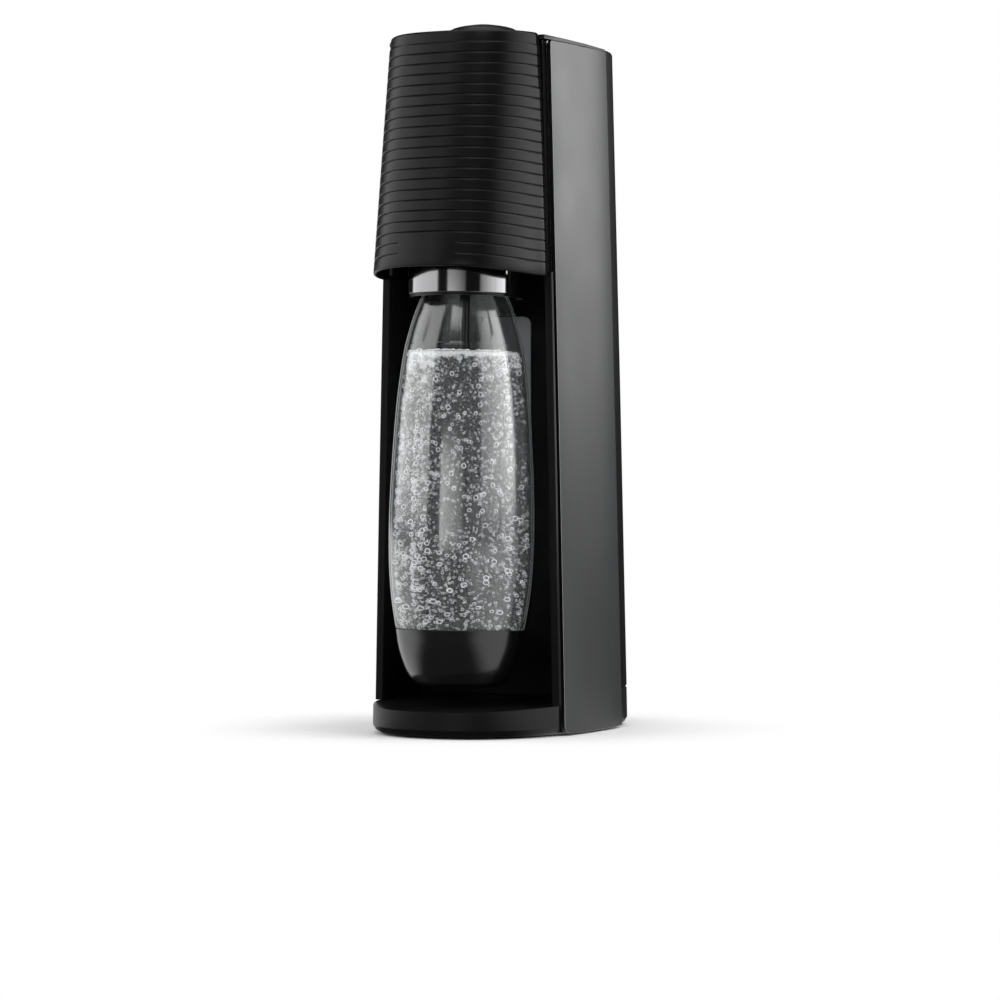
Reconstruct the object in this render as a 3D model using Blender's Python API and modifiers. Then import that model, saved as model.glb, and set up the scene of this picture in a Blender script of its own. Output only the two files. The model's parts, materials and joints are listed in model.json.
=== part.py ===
"""Countertop soda carbonator: tapered oval housing, tilting bottle carrier, clear bottle and gas cylinder.

Front is -Y, up is +Z, the origin is on the worktop under the middle of the housing. Metres throughout.
"""

import bmesh
import bpy
from math import asin, cos, pi, radians, sin
from mathutils import Matrix, Vector

mm = 0.001

# Housing, as one tapered oval
width = 133 * mm
depth = 195 * mm
height = 428 * mm
side_taper = 0.0294  # each side leans in by this much per unit of height
rear_rake = 0.0305
head_rake = 0.1666
oval_power_low = 2.45  # roundness of the plan at the worktop, squarer as it grows
oval_power_high = 3.12
wall = 2.6 * mm
gap = 0.3 * mm  # between touching pieces

# Base
foot_height = 1.2 * mm
foot_radius = 6 * mm
foot_from_side = 34.5 * mm
foot_from_end = 45.5 * mm
foot_screw_spacing = 15 * mm
base_plate_thickness = 2 * mm
base_top = 16 * mm
floor_slope = 0.04  # the niche floor rises towards the back
base_edge_inset = 4 * mm
base_front_power = 2.3  # the base's front half is rounder than the housing above it
rear_foot_rise = 7.7 * mm
base_skirt = 2.6 * mm
base_floor = 3 * mm
screw_radius = 1.4 * mm
screw_head_radius = 3 * mm
screw_head = 0.8 * mm
screw_length = 8 * mm
screw_clearance = 0.4 * mm
boss_radius = 4 * mm
foot_x = width / 2 - foot_from_side
foot_y = depth / 2 - foot_from_end
rear_foot_top = base_top + rear_foot_rise

# Niche frame and panels. The side walls' front edge is set back from the front of the base.
side_setback = 52.1 * mm
frame_bead = 2 * mm
bead_past_rim = 3 * mm  # the bead runs up behind the head's rear edge
bead_proud = 0.6 * mm  # past the housing's oval
frame_wall = 2.7 * mm
frame_recess = 3.3 * mm  # how far the walls stand back behind the panels
frame_rear_step = 2 * mm  # the walls end this far before the panels
channel = 6 * mm  # from the walls' front edge to the panels
niche_back = 8 * mm
back_wall = 3 * mm
panel_past_wall = 31.9 * mm
panel_thickness = 2.8 * mm
panel_bottom = 1.4 * mm
frame_front = -depth / 2 + side_setback
panel_front = frame_front + channel
panel_rear = niche_back + panel_past_wall

# Head and top
head_below_button = 8.6 * mm
top_plate_drop = 4.8 * mm
top_plate_step = 2.1 * mm
rim_tilt = 0.105
top_tilt = 0.035
head_overlap = 0.6 * mm
head_flange = 9 * mm
rim_below_hinge = 21.3 * mm
top_plate_slope = 0.012
ceiling_thickness = 2.2 * mm
ceiling_above_rim = 5.6 * mm
head_top = height - head_below_button
head_rear = frame_front - head_overlap
top_plate_bottom = head_top - top_plate_drop
top_plate_front_z = head_top - top_plate_step

# Button and its linkage
button_before_wall = 30.9 * mm
button_radius = 21.8 * mm
button_clearance = 0.6 * mm
button_dome = 4.1 * mm
button_edge = 1.3 * mm  # the rounded edge below the dome
button_flange = 2.2 * mm
button_flange_thickness = 2.5 * mm
button_stem_radius = 4 * mm
guide_depth = 26.6 * mm
guide_floor_thickness = 2.5 * mm
guide_wall = 2.4 * mm
spring_radius = 9.5 * mm
spring_wire = 1.4 * mm
spring_turns = 4
lever_below_guide = 7.6 * mm
lever_thickness = 6 * mm
lever_width = 10 * mm
lever_pivot_before_wall = 6.5 * mm
lever_pin_radius = 1.8 * mm
lever_nose = 5.6 * mm  # past the button stem
pin_clearance = 0.35 * mm
stem_before_wall = 16 * mm
stem_radius = 2.5 * mm
block_below_lever = 10.9 * mm
block_height = 17.2 * mm
block_width = 30 * mm
block_length = 26 * mm
block_before_wall = 2 * mm
relief_radius = 4.5 * mm
relief_length = 9 * mm
button_y = niche_back - button_before_wall
lever_pivot_y = niche_back - lever_pivot_before_wall
stem_y = niche_back - stem_before_wall
guide_floor = top_plate_bottom - guide_depth
lever_height = guide_floor - lever_below_guide
block_top = lever_height - block_below_lever

# Bracket that carries the valve and the tilting carrier
hinge_below_bracket = 52 * mm
bracket_below_hinge = 9 * mm
bracket_clearance = 23 * mm  # each side, to the widest part of the housing
bracket_leg = 3.5 * mm
bracket_past_hinge = 16.25 * mm
hose_hole = 8 * mm
hose_radius = 2.4 * mm
pipe_radius = 2 * mm
pipe_x = 12 * mm
hinge_behind_edge = 0.35 * mm
bracket_top = block_top - block_height - gap
bracket_half = width / 2 - bracket_clearance
hinge_y = frame_front - hinge_behind_edge
hinge_z = bracket_top - hinge_below_bracket
bracket_bottom = hinge_z - bracket_below_hinge
bracket_front = hinge_y - bracket_past_hinge
rim_height = hinge_z - rim_below_hinge  # lowest front edge of the head shell
ceiling_height = rim_height + ceiling_above_rim

# Tilting carrier, collar and bottle, measured from the carrier's hinge
bottle_lean = radians(1.85)
carrier_radius = 31 * mm
carrier_nose = 16 * mm
carrier_bottom = -16.7 * mm
carrier_top = 16 * mm
carrier_ear = 8 * mm
carrier_pin_radius = 2.6 * mm
carrier_pin_length = 10.5 * mm
collar_radius = 34.35 * mm
collar_inner = 31.3 * mm
visor_thickness = 1.1 * mm
visor_bottom = -35.6 * mm
collar_bottom = -38.6 * mm
collar_skirt_bottom = -47 * mm
visor_half_angle = radians(76)
skirt_half_angle = radians(42)
jaw_outer = 29.4 * mm
jaw_inner = 26 * mm
jaw_bottom = -30 * mm
jaw_half_angle = radians(62)
gasket_radius = 14 * mm
gasket_thickness = 4 * mm
tube_radius = 3 * mm
tube_bore = 1.2 * mm
tube_end = -75 * mm
tube_socket = 6 * mm  # the tube ends this far below the carrier's top
opening_side_clearance = 2.2 * mm
opening_tilt_clearance = 6.15 * mm
opening_forward = 2.4 * mm
bottle_wall = 2.2 * mm
bottle_above_floor = 12.8 * mm
cup_height = 34.2 * mm
cup_floor_radius = 22 * mm
cup_edge = 2.6 * mm  # the rounded edge at the bottom of the cup
neck_radius = 13.8 * mm
neck_flare = -25 * mm
bottle_bottom = -(hinge_z - base_top - bottle_above_floor)
cup_rim = bottle_bottom + cup_height

# Back cover and its release button
cover_step = 1.5 * mm  # its roof above the top plate's underside
cover_clearance = 0.5 * mm
cover_roll = 1.6 * mm
latch_below_top = 28.1 * mm
latch_half_width = 9.7 * mm
latch_half_height = 4.7 * mm
latch_proud = 0.4 * mm
latch_flange = 2 * mm
latch_clearance = 1.05 * mm
cover_bottom = rear_foot_top + gap
cover_top = top_plate_bottom + cover_step
cover_front = panel_rear + cover_clearance
latch_z = cover_top - latch_below_top

# Gas cylinder and its quick connector, which hangs below the cover's roof
cylinder_radius = 29.8 * mm
cylinder_behind_wall = 4.7 * mm
neck_width = 12.5 * mm
neck_length = 5 * mm
shoulder_height = 28 * mm
cylinder_wall = 5.5 * mm
cylinder_bore = 3 * mm
cylinder_foot_radius = 6 * mm
seat_height = 9 * mm
seat_wall = 2.2 * mm
seat_floor = 3 * mm
seat_clearance = 0.5 * mm
valve_height = 26 * mm
valve_pin = 3 * mm
valve_chamfer = 3 * mm
valve_radius = 13 * mm
valve_groove_radius = 9 * mm
valve_groove = 9.5 * mm
housing_half = 20.5 * mm
housing_cheek = 4 * mm
housing_below_neck = 1 * mm
housing_roof = 11.5 * mm
housing_below_cover = 20.1 * mm
housing_past_cylinder = 12.5 * mm
valve_below_roof = 12.5 * mm
handle_below_roof = 16 * mm
handle_reach = 30 * mm
handle_bar = 5 * mm
handle_thickness = 9 * mm
handle_arm = 3.5 * mm
handle_clearance = 0.8 * mm
handle_rest = radians(-45)
handle_pin_radius = 2.2 * mm
clamp_thickness = 5 * mm
clamp_front = 18 * mm
clamp_rear = 15 * mm
cylinder_y = niche_back + back_wall + cylinder_behind_wall + cylinder_radius
housing_top = cover_top - housing_below_cover
housing_ceiling = housing_top - housing_roof
housing_rear = cylinder_y + housing_past_cylinder
handle_z = housing_top - handle_below_roof
valve_top = housing_ceiling - valve_below_roof
cylinder_neck = valve_top - valve_height
cylinder_shoulder = cylinder_neck - shoulder_height
housing_bottom = cylinder_neck - housing_below_neck

for item in list(bpy.data.objects):
    bpy.data.objects.remove(item)

parts = bpy.data.collections.new("soda_carbonator")
cutters = bpy.data.collections.new("cutters")
bpy.context.scene.collection.children.link(parts)
bpy.context.scene.collection.children.link(cutters)
cutters.hide_render = True


def finish(name, color, roughness, metallic=0.0, alpha=1.0):
    material = bpy.data.materials.new(name)
    material.use_nodes = True
    shader = material.node_tree.nodes["Principled BSDF"]
    shader.inputs["Base Color"].default_value = (*color, 1.0)
    shader.inputs["Roughness"].default_value = roughness
    shader.inputs["Metallic"].default_value = metallic
    shader.inputs["Alpha"].default_value = alpha
    return material


black_matte = finish("matte_black_plastic", (0.018, 0.019, 0.02), 0.5)
black_gloss = finish("gloss_black_plastic", (0.006, 0.006, 0.007), 0.18)
grey_satin = finish("satin_graphite_plastic", (0.07, 0.072, 0.074), 0.4)
chrome = finish("chrome", (0.8, 0.8, 0.82), 0.08, 1.0)
steel = finish("steel", (0.55, 0.56, 0.57), 0.3, 1.0)
brass = finish("brass", (0.72, 0.52, 0.24), 0.3, 1.0)
aluminium = finish("painted_cylinder", (0.5, 0.52, 0.55), 0.35, 0.6)
rubber = finish("rubber", (0.02, 0.02, 0.02), 0.8)
clear = finish("clear_bottle", (0.9, 0.95, 0.97), 0.05, 0.0, 0.3)
accent = finish("accent_plastic", (0.55, 0.08, 0.2), 0.4)
white_plastic = finish("white_plastic", (0.7, 0.7, 0.68), 0.5)


# Meshes and modifiers


def pivot_at(name, frame):
    """An empty on a hinge's axis, which carries the pieces that turn with it."""
    pivot = bpy.data.objects.new(name, None)
    pivot.empty_display_size = 10 * mm
    parts.objects.link(pivot)
    pivot.matrix_world = frame
    return pivot


def carry(pivot, *names):
    for name in names:
        item = parts.objects[name]
        item.parent = pivot
        item.matrix_world = pivot.matrix_world


def place(name, mesh, material, collection=parts):
    item = bpy.data.objects.new(name, mesh)
    collection.objects.link(item)
    if collection is cutters:
        item.display_type = "WIRE"
        item.hide_render = True
    if material:
        mesh.materials.append(material)
    return item


def smooth(item, angle=35):
    item.data.shade_smooth()
    item.data.set_sharp_from_angle(angle=radians(angle))
    return item


def loft(name, rings, material, collection=parts):
    """A closed solid through rings of equal count, each a list of (x, y, z), capped at both ends."""
    shape = bmesh.new()
    rows = [[shape.verts.new(point) for point in ring] for ring in rings]
    for low, high in zip(rows, rows[1:]):
        for i in range(len(low)):
            j = (i + 1) % len(low)
            shape.faces.new((low[i], low[j], high[j], high[i]))
    shape.faces.new(rows[0])
    shape.faces.new(rows[-1])
    bmesh.ops.recalc_face_normals(shape, faces=shape.faces)
    mesh = bpy.data.meshes.new(name)
    shape.to_mesh(mesh)
    shape.free()
    return smooth(place(name, mesh, material, collection))


def turned(name, profile, material, frame, steps=24, collection=parts):
    """Profile of (radius, z) from top to bottom down the outside, turned about the local Z axis of frame."""
    mesh = bpy.data.meshes.new(name)
    closed = profile[0][0] > 0
    count = len(profile)
    edges = [(i, i + 1) for i in range(count - 1)] + ([(count - 1, 0)] if closed else [])
    mesh.from_pydata([(r, 0, z) for r, z in profile], edges, [])
    item = place(name, mesh, material, collection)
    screw = item.modifiers.new("turn", "SCREW")
    screw.steps = screw.render_steps = steps
    screw.use_merge_vertices = True
    screw.merge_threshold = 1e-5
    screw.use_smooth_shade = True
    item.matrix_world = frame
    return item


def box(name, low, high, material, frame=None, collection=parts):
    bpy.ops.mesh.primitive_cube_add(size=1)
    item = bpy.context.object
    item.name = item.data.name = name
    for owner in item.users_collection:
        owner.objects.unlink(item)
    collection.objects.link(item)
    size = Vector(high) - Vector(low)
    middle = (Vector(high) + Vector(low)) / 2
    item.data.transform(Matrix.Translation(middle) @ Matrix.Diagonal((*size, 1)))
    item.matrix_world = frame or Matrix.Identity(4)
    if collection is cutters:
        item.display_type = "WIRE"
        item.hide_render = True
    if material:
        item.data.materials.append(material)
    return item


def rod(name, start, end, radius, material, frame=None, collection=parts, sides=20):
    """A plain cylinder from one point to another."""
    start, end = Vector(start), Vector(end)
    bpy.ops.mesh.primitive_cylinder_add(vertices=sides, radius=radius, depth=(end - start).length)
    item = bpy.context.object
    item.name = item.data.name = name
    for owner in item.users_collection:
        owner.objects.unlink(item)
    collection.objects.link(item)
    turn = (end - start).to_track_quat("Z", "Y").to_matrix().to_4x4()
    item.data.transform(Matrix.Translation((start + end) / 2) @ turn)
    item.matrix_world = frame or Matrix.Identity(4)
    if collection is cutters:
        item.display_type = "WIRE"
        item.hide_render = True
    if material:
        item.data.materials.append(material)
        smooth(item)
    return item


def combine(item, other, operation):
    modifier = item.modifiers.new(operation.lower(), "BOOLEAN")
    modifier.operation = operation
    modifier.object = other
    modifier.solver = "EXACT"
    return item


def cut(item, other):
    return combine(item, other, "DIFFERENCE")


def join(item, other):
    return combine(item, other, "UNION")


def tube(name, points, radius, material):
    """A round wire or pipe along a list of points, as a mesh."""
    curve = bpy.data.curves.new(name, "CURVE")
    curve.dimensions = "3D"
    curve.bevel_depth = radius
    curve.bevel_resolution = 2
    curve.use_fill_caps = True
    spline = curve.splines.new("POLY")
    spline.points.add(len(points) - 1)
    for knot, point in zip(spline.points, points):
        knot.co = (*point, 1)
    item = place(name, curve, material)
    return item


def smooth_path(knots, steps=5):
    """Points along a Catmull-Rom curve through the knots."""
    knots = [Vector(k) for k in knots]
    ends = [2 * knots[0] - knots[1], *knots, 2 * knots[-1] - knots[-2]]
    points = []
    for a, b, c, d in zip(ends, ends[1:], ends[2:], ends[3:]):
        for i in range(steps):
            t = i / steps
            points.append(0.5 * (2 * b + (c - a) * t + (2 * a - 5 * b + 4 * c - d) * t**2
                                 + (3 * b - a - 3 * c + d) * t**3))
    return points + [knots[-1]]


# The oval plan of the housing


def front_at(z, raked):
    return -depth / 2 + (head_rake * max(z - rim_height, 0) if raked else 0)


def power_at(z):
    return oval_power_low + (oval_power_high - oval_power_low) * z / height


def oval_at(z, inset=0.0, raked=False):
    """Half width, middle y, half length and power of the plan at this height, drawn in by inset."""
    front, rear = front_at(z, raked), depth / 2 - rear_rake * z
    return width / 2 - side_taper * z - inset, (front + rear) / 2, (rear - front) / 2 - inset, power_at(z)


def side_x(y, z, inset=0.0, raked=False):
    half, middle, long, power = oval_at(z, inset, raked)
    return half * (1 - min(abs(y - middle) / long, 1) ** power) ** (1 / power)


def oval_points(z, inset, start, end, count, raked=False, own_power=None):
    half, middle, long, power = oval_at(z, inset, raked)
    power = own_power or power
    points = []
    for i in range(count):
        angle = start + (end - start) * i / (count - 1)
        c, s = cos(angle), sin(angle)
        x = half * abs(c) ** (2 / power) * (1 if c > 0 else -1)
        y = middle + long * abs(s) ** (2 / power) * (1 if s > 0 else -1)
        points.append((x, y))
    return points


def end_angle(y, z, inset, raked=False):
    """The parametric angle from the X axis at which the oval reaches y."""
    _, middle, long, power = oval_at(z, inset, raked)
    return asin(min(abs(y - middle) / long, 1) ** (power / 2))


def front_arc(z, inset, y_end, count, raked=True):
    angle = end_angle(y_end, z, inset, raked)
    return oval_points(z, inset, angle - pi, -angle, count, raked)


def rear_arc(z, inset, y_end, count):
    angle = end_angle(y_end, z, inset)
    return oval_points(z, inset, angle, pi - angle, count)


def base_oval(z, inset, count=56):
    front = oval_points(z, inset, -pi, 0, count // 2 + 1, own_power=base_front_power)
    rear = oval_points(z, inset, 0, pi, count // 2 + 1)
    return front[:-1] + rear[:-1]


def side_strip(z, outer, inner, y_start, y_end, count=9):
    """One side's outline between two y values, from the outer skin to the inner one."""
    ys = [y_start + (y_end - y_start) * i / (count - 1) for i in range(count)]
    skin = [(side_x(y, z, outer), y) for y in ys]
    return skin + [(side_x(y, z, inner), y) for y in reversed(ys)]


def at_height(points, z, tilt=0.0):
    return [(x, y, z - tilt * (y + depth / 2)) for x, y in points]


def mirrored(points):
    return [(-x, y) for x, y in reversed(points)]


# Base


def foot_places():
    return {
        "front_left": (-foot_x, -foot_y),
        "front_right": (foot_x, -foot_y),
        "rear_left": (-foot_x, foot_y),
        "rear_right": (foot_x, foot_y),
    }


def screw_place(x, y):
    return x, y - foot_screw_spacing * (1 if y > 0 else -1)


def floor_at(y):
    """The niche floor's height, which rises towards the back."""
    return base_top + floor_slope * (y + depth / 2)


def make_base():
    levels = (
        (foot_height, base_edge_inset),
        (foot_height + 1.3 * mm, base_edge_inset * 0.4),
        (foot_height + 4 * mm, 0),
        (rear_foot_top - 0.8 * mm, 0),
        (rear_foot_top, 0.8 * mm),
    )
    shell = loft("base_shell", [at_height(base_oval(z, i), z) for z, i in levels], black_matte)
    cavity_inset = base_edge_inset + base_skirt
    cavity_top = base_top - base_floor
    hollow = [at_height(base_oval(z, cavity_inset, 32), z) for z in (-5 * mm, cavity_top)]
    cut(shell, loft("base_hollow", hollow, None, cutters))
    rear, wall_end = niche_back + back_wall + gap, panel_rear - frame_rear_step + gap
    wall_inset = frame_recess + frame_wall + gap
    inner = [(side_x(y, base_top, wall_inset), y) for y in (rear, wall_end)]
    half = [(0, -depth), (width, -depth), (width, wall_end), *inner[::-1], (0, rear)]
    outline = half + [(-x, y) for x, y in half[-2:0:-1]]
    low = [(x, y, floor_at(y)) for x, y in outline]
    cut(shell, loft("niche_floor", [low, [(x, y, z + 30 * mm) for x, y, z in low]], None, cutters))
    plate_top = foot_height + gap + base_plate_thickness
    for name, (x, y) in foot_places().items():
        sx, sy = screw_place(x, y)
        boss = rod("boss_" + name, (sx, sy, plate_top + gap), (sx, sy, cavity_top + 1 * mm),
                   boss_radius, None, collection=cutters, sides=16)
        join(shell, boss)
        hole = rod("boss_hole_" + name, (sx, sy, 0), (sx, sy, screw_length + 3 * mm),
                   screw_radius + screw_clearance, None, collection=cutters, sides=10)
        cut(shell, hole)
    for side in (1, -1):
        outline = []
        for z in (-1 * mm, rear_foot_top + 5 * mm):
            strip = side_strip(z, -6 * mm, frame_recess, frame_front + frame_bead, cover_front - gap)
            outline.append(at_height(strip if side > 0 else mirrored(strip), z))
        cut(shell, loft(f"panel_recess_{side}", outline, None, cutters))
    return shell


def make_base_plate():
    inset = base_edge_inset + base_skirt + gap
    low = foot_height + gap
    rings = [at_height(base_oval(z, inset, 32), z) for z in (low, low + base_plate_thickness)]
    plate = loft("base_plate", rings, black_matte)
    for name, (x, y) in foot_places().items():
        rod("foot_" + name, (x, y, 0), (x, y, foot_height), foot_radius, rubber, sides=16)
        sx, sy = screw_place(x, y)
        hole = rod("plate_hole_" + name, (sx, sy, 0), (sx, sy, low + 2 * base_plate_thickness),
                   screw_radius + screw_clearance, None, collection=cutters, sides=12)
        cut(plate, hole)
        head_top_z = low - gap
        profile = ((0, screw_length), (screw_radius, screw_length), (screw_radius, head_top_z),
                   (screw_head_radius, head_top_z), (screw_head_radius, head_top_z - screw_head),
                   (0, head_top_z - screw_head))
        turned("base_screw_" + name, profile, steel, Matrix.Translation((sx, sy, 0)), 10)
    return plate


# Frame, panels, head and top


def frame_outline(z, with_bead):
    """The frame's H plan: two side walls joined by the niche's back wall."""
    bead_end = frame_front + frame_bead
    inner = frame_recess + frame_wall
    wall_rear = panel_rear - frame_rear_step
    if with_bead:
        nose = [(side_x(frame_front, z, frame_recess + 0.5 * mm), frame_front),
                (side_x(frame_front, z, -bead_proud), frame_front),
                (side_x(bead_end, z, -bead_proud), bead_end)]
    else:
        nose = [(side_x(bead_end, z, inner - share * frame_wall), bead_end) for share in (0.3, 0.5, 0.8)]
    outer = [(side_x(y, z, frame_recess), y) for y in (bead_end, -20 * mm, 10 * mm, wall_rear)]
    rear = [(side_x(y, z, inner), y) for y in (wall_rear, niche_back + back_wall)]
    inside = [(side_x(y, z, inner), y) for y in (niche_back, -18 * mm, frame_front + frame_bead + 1.5 * mm)]
    right = nose + outer + rear
    return right + mirrored(right) + mirrored(inside) + inside


def make_frame():
    step = rim_height - rim_tilt * (frame_front + depth / 2) + bead_past_rim
    levels = ((base_top + gap, True), (step / 2, True), (step, True), (step + 0.05 * mm, False),
              (step + (top_plate_bottom - step) / 2, False), (top_plate_bottom - gap, False))
    rings = [at_height(frame_outline(z, bead), z) for z, bead in levels]
    rings[0] = [(x, y, floor_at(y) + gap) for x, y, _ in rings[0]]
    frame = loft("niche_frame", rings, black_gloss)
    hole = rod("pipe_hole", (pipe_x, niche_back - 2 * mm, pipe_height()),
               (pipe_x, niche_back + back_wall + 2 * mm, pipe_height()),
               pipe_radius + 0.5 * mm, None, collection=cutters, sides=12)
    return cut(frame, hole)


def make_panel(side):
    name = "side_panel_right" if side > 0 else "side_panel_left"
    levels = ((panel_bottom, 0.8 * mm), (panel_bottom + 1.2 * mm, 0), (top_plate_bottom / 2, 0),
              (top_plate_bottom - gap - 1.2 * mm, 0), (top_plate_bottom - gap, 0.8 * mm))
    rings = []
    for z, edge in levels:
        strip = side_strip(z, edge, panel_thickness, panel_front, panel_rear)
        rings.append(at_height(strip if side > 0 else mirrored(strip), z))
    return loft(name, rings, grey_satin)


def make_head():
    flange_under = head_top - wall
    levels = (
        (rim_height, rim_tilt, 0.9 * mm, wall - 0.6 * mm),
        (rim_height + 1.2 * mm, rim_tilt, 0, wall),
        (rim_height + (head_top - rim_height) / 3, (2 * rim_tilt + top_tilt) / 3, 0, wall),
        (rim_height + (head_top - rim_height) * 2 / 3, (rim_tilt + 2 * top_tilt) / 3, 0, wall),
        (flange_under - 0.1 * mm, top_tilt, 0, wall),
        (flange_under, top_tilt, 0, head_flange),
        (head_top - 0.9 * mm, top_tilt, 0.3 * mm, head_flange),
        (head_top, top_tilt, 1.6 * mm, head_flange),
    )
    rings = []
    for z, tilt, outer, inner in levels:
        band = front_arc(z, outer, head_rear, 29) + front_arc(z, inner, head_rear, 29)[::-1]
        rings.append(at_height(band, z, tilt))
    return loft("head_shell", rings, black_matte)


def top_outline(z):
    rear = panel_rear - gap
    sides = [(side_x(y, z, 0.5 * mm), y) for y in (rear, 10 * mm, -20 * mm, head_rear + gap)]
    nose = front_arc(z, head_flange + 2.5 * gap, head_rear + gap, 29)
    return sides + nose[::-1] + mirrored(sides)


def make_top():
    low = at_height(top_outline(top_plate_bottom), top_plate_bottom)
    high = [(x, y, top_plate_front_z - top_plate_slope * (y - head_rear))
            for x, y in top_outline(top_plate_front_z)]
    top = loft("top_cover", [low, high], black_matte)
    hole = rod("button_hole", (0, button_y, guide_floor), (0, button_y, height + 5 * mm),
               button_radius + button_clearance, None, collection=cutters, sides=40)
    return cut(top, hole)


def make_ceiling():
    """The closed underside of the head round the carrier's opening."""
    rear = niche_back - gap
    rings = []
    for z in (ceiling_height, ceiling_height + ceiling_thickness):
        inner = frame_recess + frame_wall + gap
        nose = front_arc(z, wall + 2 * gap, head_rear + gap, 29)
        step_y = frame_front + frame_bead + 2 * mm
        side = [(side_x(y, z, inner), y) for y in (step_y, -18 * mm, rear)]
        shoulder = [(side_x(step_y - 4.5 * mm, z, inner), step_y - 4.5 * mm)]
        rings.append(at_height(nose + shoulder + side + mirrored(shoulder + side), z))
    ceiling = loft("niche_ceiling", rings, black_matte)
    opening = rod("carrier_opening", (0, 0, ceiling_height - 5 * mm), (0, 0, ceiling_height + 9 * mm),
                  1.0, None, collection=cutters, sides=40)
    half_wide = collar_radius + opening_side_clearance
    half_long = collar_radius + opening_tilt_clearance
    opening.data.transform(Matrix.Diagonal((half_wide, half_long, 1, 1)))
    opening.data.transform(Matrix.Translation((0, hinge_y - opening_forward, 0)))
    return cut(ceiling, opening)


# Button, spring, lever and valve

# The dome, as shares of the button's radius and of the dome's own height
button_crown = ((0, 0), (0.23, 0.085), (0.41, 0.22), (0.57, 0.36), (0.71, 0.51), (0.84, 0.71), (0.945, 1))


def pipe_height():
    return (housing_ceiling + housing_top) / 2


def button_flange_top():
    return top_plate_bottom - gap


def make_button():
    rim = height - button_dome
    skirt = button_flange_top()
    under = skirt - button_flange_thickness
    profile = [(button_radius * share, height - button_dome * fall) for share, fall in button_crown]
    profile += [
        (button_radius, rim - button_edge), (button_radius, skirt),
        (button_radius + button_flange, skirt), (button_radius + button_flange, under),
        (button_stem_radius, under), (button_stem_radius, lever_top() + 2.5 * mm),
        (1.5 * mm, lever_top() + gap), (0, lever_top() + gap),
    ]
    return turned("carbonating_button", profile, black_matte, Matrix.Translation((0, button_y, 0)), 36)


def make_button_guide():
    outer = button_radius + button_flange + 0.6 * mm + guide_wall
    inner = outer - guide_wall
    top, low = top_plate_bottom - gap, guide_floor
    bore = button_stem_radius + 0.5 * mm
    profile = [(outer, top), (outer, low), (bore, low), (bore, low + guide_floor_thickness),
               (inner, low + guide_floor_thickness), (inner, top)]
    return turned("button_guide", profile, white_plastic, Matrix.Translation((0, button_y, 0)))


def make_spring():
    low = guide_floor + guide_floor_thickness + gap + spring_wire / 2
    high = button_flange_top() - button_flange_thickness - gap - spring_wire / 2
    count = spring_turns * 10
    points = []
    for i in range(count + 1):
        angle = 2 * pi * i / 10
        points.append((spring_radius * cos(angle), button_y + spring_radius * sin(angle),
                       low + (high - low) * i / count))
    return tube("button_spring", points, spring_wire / 2, steel)


def lever_top():
    return lever_height + lever_thickness / 2


def make_lever():
    front = button_y - lever_nose - lever_pivot_y
    half = lever_thickness / 2
    lever = box("valve_lever", (-lever_width / 2, front, -half), (lever_width / 2, half, half), accent,
                Matrix.Translation((0, lever_pivot_y, lever_height)))
    pin = (lever_width / 2 + 6 * mm, lever_pivot_y, lever_height)
    hole = rod("lever_hole", (-pin[0], *pin[1:]), pin, lever_pin_radius + pin_clearance, None,
               collection=cutters, sides=16)
    cut(lever, hole)
    reach = lever_width / 2 + gap + 3 * mm
    rod("lever_pin", (-reach, *pin[1:]), (reach, *pin[1:]), lever_pin_radius, steel, sides=16)
    return lever


def make_valve():
    half = block_width / 2
    rear = niche_back - block_before_wall
    low = bracket_top + gap
    block = box("valve_block", (-half, rear - block_length, low), (half, rear, block_top), brass)
    for side in (-1, 1):
        near, far = lever_width / 2 + gap + 0.4 * mm, lever_width / 2 + gap + 3.4 * mm
        ear = box(f"lever_ear_{side}", (min(side * near, side * far), lever_pivot_y - 4 * mm, block_top - 1 * mm),
                  (max(side * near, side * far), lever_pivot_y + 4 * mm, lever_height + 4 * mm), None,
                  collection=cutters)
        join(block, ear)
    hole = rod("ear_hole", (-20 * mm, lever_pivot_y, lever_height), (20 * mm, lever_pivot_y, lever_height),
               lever_pin_radius + pin_clearance, None, collection=cutters, sides=16)
    cut(block, hole)
    stem_low = block_top - 6 * mm
    bore = rod("stem_bore", (0, stem_y, stem_low - 4 * mm), (0, stem_y, block_top + 5 * mm),
               stem_radius + pin_clearance, None, collection=cutters, sides=16)
    cut(block, bore)
    rod("valve_stem", (0, stem_y, stem_low), (0, stem_y, lever_height - lever_thickness / 2 - gap),
        stem_radius, steel, sides=16)
    middle = (bracket_top + block_top) / 2
    rod("relief_valve", (-half - gap - relief_length, stem_y, middle), (-half - gap, stem_y, middle),
        relief_radius, brass, sides=6)
    return block


def make_pipes():
    z = pipe_height()
    rear = niche_back + back_wall + gap
    drop = niche_back - 4 * mm
    knots = [(pipe_x, rear, z), (pipe_x, niche_back - 3 * mm, z), (pipe_x, drop, z - 6 * mm),
             (pipe_x, drop, block_top + gap)]
    tube("gas_pipe", smooth_path(knots), pipe_radius, steel)
    front = niche_back - block_before_wall - block_length
    middle = (bracket_top + block_top) / 2
    hinge = carrier_frame()
    low = hinge @ Vector((0, 0, carrier_top + gap))
    above = hinge @ Vector((0, 0, carrier_top + 14 * mm))
    knots = [(0, front - gap, middle), (0, front - 3 * mm, middle), (0, front - 9 * mm, middle),
             (0, hinge_y + 3 * mm, middle - 7 * mm), above, low]
    return tube("nozzle_hose", smooth_path(knots), hose_radius, rubber)


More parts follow.
